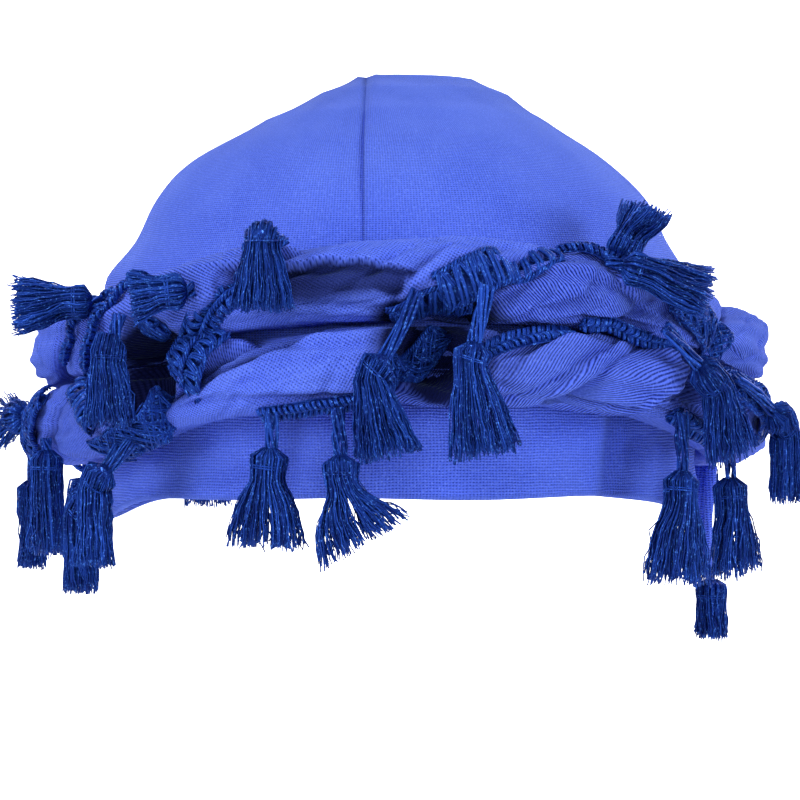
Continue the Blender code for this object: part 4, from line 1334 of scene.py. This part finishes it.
@dataclass
class Tassel:
    """Cord of threads, a head where they fold over, a bound neck and a loose skirt."""

    name: str
    spots: tuple
    side: tuple
    half_width: float
    half_depth: float = 0.0040
    cord_threads: int = 9
    skirt_threads: int = 210
    cord_radius: float = 0.0019
    head_radius: float = 0.0050
    neck_radius: float = 0.0044
    wave: float = 0.00036
    clump: float = 0.00050
    ragged: float = 0.12

    def frame_of(self, spots: np.ndarray, wide: np.ndarray, deep: np.ndarray) -> dict:
        """Path with its ways across and off it.

        Args:
            spots: Points of the path.
            wide: Half width at each point.
            deep: Half depth at each point.

        Returns:
            The path for the thread trees.
        """
        along = np.gradient(spots, axis=0)
        along /= np.linalg.norm(along, axis=1, keepdims=True)
        side = np.tile(np.array(self.side, float), (len(spots), 1))
        side -= along * (side * along).sum(axis=1, keepdims=True)
        side /= np.linalg.norm(side, axis=1, keepdims=True)
        out = np.cross(side, along)
        return {"spots": spots, "wide": side * np.asarray(wide)[:, None], "deep": out * np.asarray(deep)[:, None]}

    def cord_path(self) -> dict:
        """Path of the cord, from the scarf into the head."""
        spots = np.array(self.spots[:-4], float) / 1000
        top = np.array(self.spots[-4], float) / 1000
        spots = np.vstack([spots, spots[-1] * 0.4 + top * 0.6])
        way = spots[1] - spots[0]
        tucked = spots[0] - way / np.linalg.norm(way) * 0.0012
        path = smooth_path(np.vstack([tucked, spots]), 14)
        spread = np.linspace(1.15, 0.85, len(path)) * self.cord_radius
        return self.frame_of(path, spread, spread * 0.62)

    def skirt_path(self) -> dict:
        """Path from the top of the head to the cut ends."""
        top, bulge, neck, middle, end = (np.array(spot, float) / 1000 for spot in self.spots[-5:])
        head = [top, (top + bulge) / 2, bulge, (bulge + neck) / 2, neck]
        spots = np.array([*head, (neck * 2 + middle) / 3, middle, end])
        wide = [0.35, 0.86, 1.0, 0.93]
        wide = [share * self.head_radius for share in wide] + [self.neck_radius]
        wide += [self.neck_radius * 1.10, self.half_width * 0.72, self.half_width]
        deep = [min(value, self.half_depth * 1.15) for value in wide]
        stations = np.column_stack([spots, wide, deep])
        fine = smooth_path(stations, 30)
        return self.frame_of(fine[:, :3], fine[:, 3], fine[:, 4])

    def binding_path(self) -> dict:
        """Turns of thread round the neck."""
        skirt = self.skirt_path()
        turns, count = 2, 46
        at = np.linspace(12.6, 15.6, count)
        knots = list(range(len(skirt["spots"])))
        columns = [np.asarray(skirt[label]) for label in ("spots", "wide", "deep")]
        spot, wide, deep = (
            np.stack([np.interp(at, knots, column[:, axis]) for axis in range(3)], axis=-1) for column in columns
        )
        angle = np.linspace(0, TURN * turns, count)[:, None]
        spots = spot + (wide * np.cos(angle) + deep * np.sin(angle)) * 0.94
        flat = np.full((count, 3), 1e-5)
        return {"spots": spots, "wide": flat, "deep": flat}

    def build(self, trees: ThreadTrees, material: bpy.types.Material) -> bpy.types.Object:
        """Builds the tassel.

        Args:
            trees: The thread trees.
            material: The thread's material.

        Returns:
            The object.
        """
        seed = sum(ord(letter) * (place + 1) for place, letter in enumerate(self.name))
        common = {"Seed": seed, "Material": material}
        cord = {"Strands": self.cord_threads, "Points": 16, "Sides": 5, "Thread Radius": 0.00040, "Twist": 1.8}
        cord |= {"Wave": 0.00024, "Wave Scale": 160.0, "Ragged": 0.0, "Hollow": 0.30}
        skirt = {"Strands": self.skirt_threads, "Points": 12, "Sides": 3, "Thread Radius": 0.00023}
        skirt |= {"Wave": self.wave, "Wave Scale": 190.0, "Clump": self.clump}
        skirt |= {"Ragged": self.ragged, "Hollow": 0.08}
        binding = {"Strands": 1, "Points": 60, "Sides": 4, "Thread Radius": 0.00022, "Wave": 0.0}
        gathered = Gathering()
        gathered.add(shade_core_body(self.skirt_path(), (0.03, 0.66), 0.66))
        for path, sizes in (
            (self.cord_path(), cord),
            (self.skirt_path(), skirt),
            (self.binding_path(), binding | {"Ragged": 0.0, "Hollow": 0.0}),
        ):
            gathered.add(grow(trees.bundle, path, {"Clump": 0.0, "Twist": 0.0} | common | sizes))
        tassel = show_piece("thread_" + self.name, gathered.mesh(self.name), material)
        settle(tassel, "tassel", self.name)
        return tassel


@dataclass
class ScarfTail:
    """Loose end of the scarf that hangs under the lower roll at the wearer's left."""

    node: str = "scarf_tail"
    wall: float = 0.0011
    columns: int = 26
    rows: int = 40
    azimuth: float = 108.0
    top_half: float = 0.0075
    end_half: float = 0.0045
    length: float = 0.0310
    flat: tuple = (0.0192, 0.0320)
    area: float = 0.00054

    def build(self, material: bpy.types.Material) -> bpy.types.Object:
        """Builds the loose end inside the box of its solid.

        Args:
            material: The knit's material.

        Returns:
            The object.
        """
        low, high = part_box(self.node)
        out, side = outward(np.array(self.azimuth)), outward(np.array(self.azimuth + 90))
        middle = np.array((low + high) / 2)
        places = np.linspace(0, 1, self.rows + 1), np.linspace(-1, 1, self.columns + 1)
        down, across = np.meshgrid(*places, indexing="ij")
        half = self.top_half + (self.end_half - self.top_half) * down
        pleat = 0.0011 * np.cos(across * 5.2 + 0.8 * down) + 0.0005 * np.sin(across * 11 + 2.5 * down)
        cup = -0.0008 * across**2
        spots = (
            np.array([middle[0], middle[1], 0.0])
            + side * (across * half)[..., None]
            + out * (pleat + cup)[..., None]
            + np.array([0.0, 0.0, 1.0]) * (high.z - (high.z - low.z) * down)[..., None]
        )
        mesh = plain_mesh(self.node, spots.reshape(-1, 3), grid_faces(self.rows + 1, self.columns + 1))
        put_cloth_uv(mesh, np.stack([across * half * 1.2, down * self.length], axis=-1).reshape(-1, 2))
        tail = show_piece("scarf_loose_end", mesh, material)
        wall = tail.modifiers.new("wall", "SOLIDIFY")
        wall.thickness = self.wall
        wall.offset = 0.0
        finished = tail.evaluated_get(bpy.context.evaluated_depsgraph_get())
        whole = bpy.data.meshes.new_from_object(finished)
        tail.modifiers.clear()
        tail.data = whole
        face_outwards(whole)
        settle(tail, "scarf", self.node)
        return tail


# ---------------------------------------------------------------- studio


# Name, place, aim, size in metres, power in watts and colour of each lamp.
LIGHTS = (
    ("key_top", (-0.22, -0.80, 1.05), (0, 0, 0.04), 0.30, 9.6, (1.0, 0.99, 0.97)),
    ("left", (-1.00, -0.80, 0.30), (0, 0, 0.05), 0.60, 9.0, (1.0, 0.99, 0.97)),
    ("right", (1.05, -0.70, 0.24), (0, 0, 0.04), 0.60, 9.4, (0.97, 0.99, 1.0)),
    ("front", (0.0, -1.30, 0.20), (0, 0, 0.01), 0.5, 2.7, (1.0, 1.0, 1.0)),
    ("rear_left", (-0.6, 0.70, 0.80), (0, 0, 0.06), 0.5, 5.5, (1.0, 1.0, 1.0)),
    ("rear_right", (0.65, 0.60, 0.55), (0, 0, 0.06), 0.5, 6.0, (1.0, 1.0, 1.0)),
    ("backdrop_wash", (0.0, 1.75, 1.0), (0, 2.7, -0.1), 1.4, 66.0, (1.0, 1.0, 1.0)),
)


@dataclass
class Studio:
    """Pale floor and backdrop, soft lights and the camera."""

    finish: PaleFinish = field(default_factory=PaleFinish)
    floor: float = -0.32
    back: float = 2.7
    bend: float = 0.6
    half_width: float = 4.0

    def backdrop(self) -> None:
        """Floor that curves up behind the hat."""
        profile = [(-3.0, self.floor), (self.back - self.bend, self.floor)]
        for step in range(1, 17):
            turn = math.pi / 2 * step / 16
            profile.append(
                (self.back - self.bend * (1 - math.sin(turn)), self.floor + self.bend * (1 - math.cos(turn)))
            )
        profile.append((self.back, 3.0))
        points = [(x, y, z) for y, z in profile for x in (-self.half_width, self.half_width)]
        faces = [(2 * i, 2 * i + 1, 2 * i + 3, 2 * i + 2) for i in range(len(profile) - 1)]
        floor = show_piece("studio_floor", plain_mesh("studio_floor", np.array(points), faces), self.finish.material())

    def light(self, name: str, place: tuple, aim: tuple, size: float, power: float, colour: tuple) -> None:
        """Soft square light that faces a point."""
        lamp = bpy.data.lights.new(name, "AREA")
        lamp.size = size
        lamp.energy = power
        lamp.color = colour
        thing = bpy.data.objects.new(name, lamp)
        thing.location = place
        thing.rotation_euler = (Vector(aim) - Vector(place)).to_track_quat("-Z", "Y").to_euler()
        bpy.context.scene.collection.objects.link(thing)

    def camera(self) -> None:
        """Camera level with the brow, straight before the hat."""
        lens = bpy.data.cameras.new("camera")
        lens.lens = 156.0
        lens.sensor_width = 36.0
        lens.clip_end = 20.0
        thing = bpy.data.objects.new("camera", lens)
        thing.location = (0.0, -1.0, 0.026)
        thing.rotation_euler = (math.pi / 2, 0.0, 0.0)
        bpy.context.scene.collection.objects.link(thing)
        bpy.context.scene.camera = thing

    def build(self) -> None:
        """Builds the studio."""
        self.backdrop()
        for row in LIGHTS:
            self.light(*row)
        world = bpy.data.worlds.new("studio")
        world.use_nodes = True
        world.node_tree.nodes["Background"].inputs["Color"].default_value = (0.94, 0.97, 1.0, 1.0)
        world.node_tree.nodes["Background"].inputs["Strength"].default_value = 0.10
        bpy.context.scene.world = world
        bpy.context.scene.view_settings.view_transform = "Standard"
        self.camera()
        LOG.info("studio: floor at %.2f m, camera at the brow's height", self.floor)


# ---------------------------------------------------------------- the hat's own sizes

UPPER_STRANDS = (
    Strand(-158, 0.8),
    Strand(-124, 0.9),
    Strand(-90, 0.8, steps=40),
    Strand(-58, 0.9, 60.0, crisp=0.5, steps=80),
    Strand(-22, 1.1, 62.0, crisp=0.0, steps=90),
    Strand(12, 1.2, 42.0, crisp=1.0, steps=60),
    Strand(33, 0.5, 28.0, crisp=0.6, steps=40),
    Strand(50, 1.0, 62.0, crisp=0.7, steps=70),
    Strand(88, 0.9, steps=40),
    Strand(126, 0.9),
    Strand(164, 0.8),
)
LOWER_STRANDS = (
    Strand(-170, 0.8),
    Strand(-134, 0.9),
    Strand(-98, 0.8, steps=40),
    Strand(-64, 0.9, 20.0, crisp=0.4, steps=80),
    Strand(-29, 1.1, 60.0, crisp=0.0, steps=90),
    Strand(6, 1.3, -38.0, crisp=1.0, steps=56),
    Strand(27, 0.5, -50.0, Lay.FAN, crisp=1.0, steps=44),
    Strand(44, 0.9, -50.0, crisp=0.5, steps=60),
    Strand(74, 0.9, steps=50),
    Strand(110, 0.8),
    Strand(150, 0.9),
)
UPPER_HOLLOWS = (Hollow(-36.8, -64, 5.2, 52.0, 0.0180), Hollow(5.0, -66, 7.0, 46.0, 0.0170))
LOWER_HOLLOWS = (
    Hollow(-36.8, 36, 5.2, 74.0, 0.0180),
    Hollow(4.2, 20, 6.0, 76.0, 0.0170),
    Hollow(44.5, 22, 2.4, 50.0, 0.0090),
)
UPPER_LAPS = (
    Lap(((-0.6, -30), (1.5, 0), (3.9, 27), (6.9, 60)), 1, 0.0026, 0.0060),
    Lap(((-24, 40), (-15, 33), (-7, 32), (1, 14)), -1, 0.0050, 0.0150),
    Lap(((12.3, -26), (15.4, 0), (18.1, 22), (21.5, 58)), -1, 0.0018, 0.0070),
    Lap(((25.9, 32), (23.9, 0), (20.8, -19), (15.5, -45)), 1, 0.0016, 0.0050),
    Lap(((28.5, 60), (29.3, 23), (32, 10), (36, 0)), -1, 0.0020, 0.0050),
    Lap(((20, -48), (27, -32), (33, -20), (40, -12)), -1, 0.0022, 0.0035),
    Lap(((-54.5, -24), (-51.1, 19), (-47.4, 43), (-40.6, 58)), 1, 0.0016, 0.0030),
    Lap(((-53, -60), (-47.9, -10), (-44.3, 9), (-37.7, 30)), 1, 0.0024, 0.0040),
    Lap(((42.3, 40), (45.1, 8), (47.9, -17), (49.3, -55)), 1, 0.0022, 0.0060),
    Lap(((38.8, 50), (44.1, 25), (52, -1), (60, -30)), -1, 0.0018, 0.0050),
    Lap(((66, 60), (72, 10), (76, -50)), 1, 0.0020, 0.0060),
    Lap(((-78, 60), (-70, 10), (-66, -50)), -1, 0.0020, 0.0060),
)
LOWER_LAPS = (
    Lap(((-31, -40), (-25.6, -5), (-20.7, 10), (-15.6, 31), (-9, 66)), 1, 0.0030, 0.0060),
    Lap(((-56, 72), (-48, 15), (-45.5, -18), (-42.9, -55)), -1, 0.0026, 0.0050),
    Lap(((12.9, -20), (16.1, 14), (19.9, 43), (27, 78)), 1, 0.0024, 0.0050),
    Lap(((18.6, -50), (22.1, -15), (25.8, 18), (33, 80)), 1, 0.0020, 0.0060),
    Lap(((34, 78), (39.5, 60), (41.4, 25), (40, -10), (35, -38)), 1, 0.0042, 0.0040),
    Lap(((20, -58), (27, -48), (34, -46), (42.5, -34)), -1, 0.0034, 0.0026),
    Lap(((21, -72), (28, -74), (36, -72), (43.5, -56)), -1, 0.0030, 0.0030),
    Lap(((-2, -55), (2.4, -30), (7.3, -22), (13, -32)), 1, 0.0026, 0.0040),
    Lap(((50, 80), (51.5, 40), (49, 3), (48.4, -50)), 1, 0.0022, 0.0050),
    Lap(((-21, -34), (-12.2, -3), (-5.5, 24)), 1, 0.0010, 0.0080),
    Lap(((66, 60), (60, 10), (58, -50)), -1, 0.0020, 0.0060),
)

# Name, spots of azimuth and rise where a strip starts and ends, its stitch, and its width in metres.
# Strips of one name make one edging.
EDGINGS = (
    ("edging_upper_1", (-16.5, 84), (-28.5, -86), Stitch.LADDER, 0.0100),
    ("edging_upper_1", (-33.5, -28), (-36.5, -66), Stitch.LOOPS, 0.0090),
    ("edging_upper_2", (20.5, 82), (5, -22), Stitch.LOOPS, 0.0120),
    ("edging_upper_2", (9, -40), (-1, -84), Stitch.LOOPS, 0.0130),
    ("edging_upper_3", (38, 34), (53, -30), Stitch.LACE, 0.0100),
    ("edging_upper_4", (24, -52), (41, -44), Stitch.BRAID, 0.0054),
    ("edging_upper_5", (22, 94), (31, 50), Stitch.BRAID, 0.0062),
    ("edging_upper_6", (-45, 72), (-58, -40), Stitch.BRAID, 0.0034),
    ("edging_upper_6", (-39, 62), (-50, -62), Stitch.BRAID, 0.0030),
    ("edging_upper_7", (96, 76), (84, -38), Stitch.LADDER, 0.0085),
    ("edging_upper_8", (172, 76), (160, -38), Stitch.LADDER, 0.0085),
    ("edging_upper_9", (-116, 76), (-128, -38), Stitch.LOOPS, 0.0085),
    ("edging_lower_1", (-26, 88), (-30, 0), Stitch.LADDER, 0.0130),
    ("edging_lower_1", (-34.5, 46), (-36, 2), Stitch.LOOPS, 0.0100),
    ("edging_lower_2", (-33, -50), (-46, -66), Stitch.LACE, 0.0115),
    ("edging_lower_3", (-51, 44), (-44, -20), Stitch.LOOPS, 0.0075),
    ("edging_lower_4", (0, -50), (-18, -62), Stitch.BRAID, 0.0070),
    ("edging_lower_5", (9, 30), (23, 66), Stitch.BRAID, 0.0066),
    ("edging_lower_5", (-1, 34), (6, -52), Stitch.LACE, 0.0075),
    ("edging_lower_6", (53, 38), (72, -22), Stitch.LACE, 0.0100),
    ("edging_lower_7", (41, -58), (56, -70), Stitch.BRAID, 0.0085),
    ("edging_lower_8", (-66, 42), (-78, -50), Stitch.LADDER, 0.0085),
    ("edging_lower_9", (116, 44), (104, -50), Stitch.LADDER, 0.0085),
    ("edging_lower_10", (-176, 44), (-188, -50), Stitch.LOOPS, 0.0085),
    ("edging_lower_11", (-104, 44), (-116, -50), Stitch.LADDER, 0.0085),
)

# Routes of the tassels in millimetres, from the root of the cord to the cut ends, the way
# across the skirt, and the skirt's half width in metres.
TASSELS = (
    ("tassel_01", ((-32.9, -111.6, 68.7), (-33.8, -115.0, 68.1), (-35.0, -119.0, 67.4), (-35.0, -119.0, 65.8),
     (-35.0, -119.0, 59.2), (-35.0, -119.0, 48.3)), (-0.96, 0.28, 0.0), 0.0090),
    ("tassel_02", ((-32.5, -115.0, 21.8), (-33.2, -114.8, 13.7), (-33.4, -114.7, 11.2), (-33.7, -114.6, 7.5),
     (-34.1, -114.5, -1.4), (-34.5, -114.4, -12.3)), (-0.96, 0.29, 0.04), 0.0116),
    ("tassel_03", ((-15.6, -118.6, 22.7), (-15.2, -119.2, 11.6), (-15.1, -119.8, 9.1), (-15.0, -120.5, 5.4),
     (-12.2, -122.7, -4.0), (-8.5, -124.4, -10.6)), (-0.87, 0.06, -0.49), 0.0147),
    ("tassel_04", ((4.3, -121.8, 52.6), (0.0, -122.0, 44.1), (-4.3, -122.9, 36.4), (-5.3, -124.2, 35.0),
     (-7.6, -124.5, 31.8), (-5.5, -125.9, 21.6), (-3.0, -127.4, 11.0)), (-0.97, 0.02, -0.23), 0.0090),
    ("tassel_05", ((21.9, -121.6, 54.0), (20.4, -122.0, 47.3), (19.0, -122.3, 40.4), (18.6, -122.8, 38.3),
     (17.8, -122.9, 34.9), (19.6, -122.7, 24.3), (22.0, -122.3, 11.4)), (-0.97, -0.17, -0.18), 0.0100),
    ("tassel_06", ((88.4, -66.8, 16.5), (88.9, -66.5, 5.0), (89.0, -66.3, 2.5), (89.2, -66.0, -1.2),
     (90.0, -65.0, -10.3), (90.9, -63.7, -21.5)), (-0.57, -0.81, -0.14), 0.0123),
    ("tassel_07", ((74.6, -84.4, 21.5), (74.5, -84.9, 7.2), (74.3, -85.0, 4.8), (74.1, -85.2, 1.0),
     (73.6, -85.7, -9.8), (72.9, -86.3, -23.1)), (-0.76, -0.64, 0.07), 0.0128),
    ("tassel_08", ((69.7, -99.5, 44.3), (78.2, -92.9, 35.2), (80.4, -91.0, 32.7), (83.5, -88.2, 29.0),
     (85.7, -86.1, 20.5), (88.1, -83.6, 10.2)), (-0.65, -0.69, -0.32), 0.0105),
    ("tassel_09", ((91.1, -67.4, 31.8), (96.4, -62.4, 27.8), (101.2, -56.4, 23.0), (103.3, -54.5, 21.4),
     (105.7, -49.6, 17.8), (106.2, -48.5, 8.7), (106.7, -47.5, -2.4)), (-0.4, -0.91, -0.1), 0.0071),
    ("tassel_10", ((-73.6, -92.6, 47.3), (-74.8, -94.0, 42.3), (-76.0, -95.5, 39.8), (-76.0, -95.5, 36.1),
     (-76.0, -95.5, 28.8), (-76.0, -95.5, 18.6)), (-0.78, 0.62, 0.0), 0.0090),
    ("tassel_11", ((-74.5, -85.7, 12.5), (-78.3, -82.2, 7.2), (-82.0, -78.6, 1.5), (-83.5, -77.0, -1.0),
     (-85.6, -74.6, -4.7), (-85.4, -74.8, -14.3), (-85.0, -75.2, -25.9)), (-0.66, 0.75, -0.05), 0.0063),
    ("tassel_12", ((-70.7, -90.5, 14.4), (-76.6, -89.0, 7.7), (-78.4, -89.7, 6.4), (-80.3, -87.9, 3.6),
     (-80.4, -87.8, -6.2), (-80.4, -87.8, -18.3)), (-0.74, 0.68, 0.0), 0.0063),
    ("tassel_13", ((-106.4, 1.9, 14.0), (-106.4, 1.9, 8.5), (-106.4, 1.9, 2.7), (-106.4, 1.9, 0.2),
     (-106.4, 1.9, -3.5), (-106.4, 1.9, -12.2), (-106.4, 1.9, -22.8)), (0.02, 1.0, 0.0), 0.0048),
    ("tassel_14", ((-97.7, -41.5, 14.2), (-97.7, -41.5, 12.1), (-97.7, -41.5, 9.6), (-97.7, -41.5, 5.9),
     (-97.7, -41.5, -4.5), (-97.7, -41.5, -17.1)), (-0.39, 0.92, 0.0), 0.0090),
    ("tassel_15", ((88.1, 68.9, 34.7), (88.7, 69.3, 28.8), (90.0, 70.3, 22.8), (91.7, 71.7, 21.8),
     (91.8, 71.7, 19.3), (91.9, 71.8, 10.0), (92.1, 72.0, -2.7)), (0.62, -0.79, 0.0), 0.0086),
    ("tassel_16", ((21.1, 119.4, 31.1), (21.3, 120.6, 25.0), (21.5, 122.2, 18.6), (22.0, 124.6, 17.4),
     (22.0, 124.6, 14.6), (22.0, 124.6, 6.7), (22.0, 124.6, -5.9)), (0.98, -0.17, 0.0), 0.0086),
    ("tassel_17", ((-59.6, 103.2, 31.9), (-59.7, 103.4, 25.4), (-60.2, 104.3, 19.4), (-61.0, 105.6, 18.1),
     (-61.0, 105.6, 15.0), (-61.0, 105.6, 4.7), (-61.0, 105.6, -8.0)), (0.87, 0.5, 0.0), 0.0086),
    ("tassel_18", ((-94.9, 57.0, 9.2), (-95.9, 57.6, 1.5), (-96.9, 58.2, -0.9), (-97.5, 58.6, -4.7),
     (-98.5, 59.2, -11.3), (-100.1, 60.1, -21.6)), (0.52, 0.86, 0.0), 0.0086),
    ("tassel_19", ((-80.3, -80.3, 52.2), (-81.7, -80.3, 52.2), (-84.1, -80.4, 52.0), (-87.8, -80.6, 51.8),
     (-94.7, -80.9, 51.4), (-103.0, -81.3, 50.8)), (-0.07, 0.77, 0.63), 0.0123),
    ("tassel_20", ((-104.9, -27.1, 21.7), (-105.4, -26.4, 21.6), (-106.8, -24.3, 21.3), (-108.8, -21.2, 20.9),
     (-110.5, -18.7, 20.6), (-112.6, -15.5, 20.2)), (0.18, 0.24, 0.95), 0.0095),
    ("tassel_21", ((56.9, -92.9, 62.3), (57.3, -92.9, 62.9), (58.5, -92.6, 65.1), (60.3, -92.2, 68.3),
     (62.3, -91.8, 72.1), (64.9, -91.3, 76.7)), (0.38, -0.92, -0.1), 0.0138),
    ("tassel_22", ((54.6, -102.6, 61.8), (57.6, -102.5, 60.8), (60.0, -102.5, 60.1), (63.5, -102.4, 59.0),
     (71.4, -102.2, 56.4), (81.1, -101.9, 53.4)), (-0.15, -0.82, -0.55), 0.0114),
    ("tassel_23", ((-54.2, -106.4, 54.4), (-55.1, -106.4, 54.2), (-57.6, -106.6, 54.0), (-61.3, -106.8, 53.5),
     (-65.2, -107.0, 53.0), (-69.9, -107.2, 52.5)), (-0.13, 0.26, 0.96), 0.0081),
    ("tassel_24", ((92.5, 30.1, -25.0), (92.5, 30.1, -27.3), (92.5, 30.1, -29.8), (92.5, 30.1, -33.5),
     (92.5, 30.1, -38.7), (92.5, 30.1, -45.0)), (-0.31, 0.95, 0.0), 0.0076),
)


def main() -> None:
    """Builds and reports every piece of the hat, and the studio round it."""
    logging.basicConfig(level=logging.INFO, format="%(name)s: %(message)s", stream=sys.stdout)
    dome = KnitFinish("knit_crown", pitch=0.00064, stitch=0.00074, cross=0.42)
    band = KnitFinish("knit_band")
    # Deeper painted shade in the scarf's rib grooves.
    groove_shade = (0.004, 0.012, 0.170, 1.0)
    scarf = KnitFinish("knit_scarf", groove_shade=groove_shade, wander=0.3, pitch=0.00072, stitch=0.00076, cross=0.42, sheen=0.07)
    scarf_material = scarf.material()
    crochet = ThreadFinish("crochet_thread", fleck_and_glint=0.7).material()
    silky = ThreadFinish("tassel_thread").material()
    Crown().build(dome.material())
    BrowBand().build(band.material())
    rolls = {
        "lower": ScarfRoll("lower_wrap", 0.0240, 0.0212, -1, LOWER_STRANDS, LOWER_HOLLOWS, LOWER_LAPS, 31),
        "upper": ScarfRoll("upper_wrap", 0.0452, 0.0222, 1, UPPER_STRANDS, UPPER_HOLLOWS, UPPER_LAPS, 57),
    }
    surfaces = {}
    for key, roll in rolls.items():
        dressed = roll.build(scarf_material)
        surfaces[key] = BVHTree.FromObject(dressed, bpy.context.evaluated_depsgraph_get())
    trees = ThreadTrees()
    for name in dict.fromkeys(row[0] for row in EDGINGS):
        strips = [CrochetStrip(*row[1:]) for row in EDGINGS if row[0] == name]
        key = name.split("_")[1]
        CrochetEdging(name, strips).build(rolls[key], surfaces[key], trees, crochet)
    for name, spots, side, half_width in TASSELS:
        Tassel(name, spots, side, half_width).build(trees, silky)
    ScarfTail().build(scarf_material)
    Studio().build()


if __name__ == "__main__":
    main()
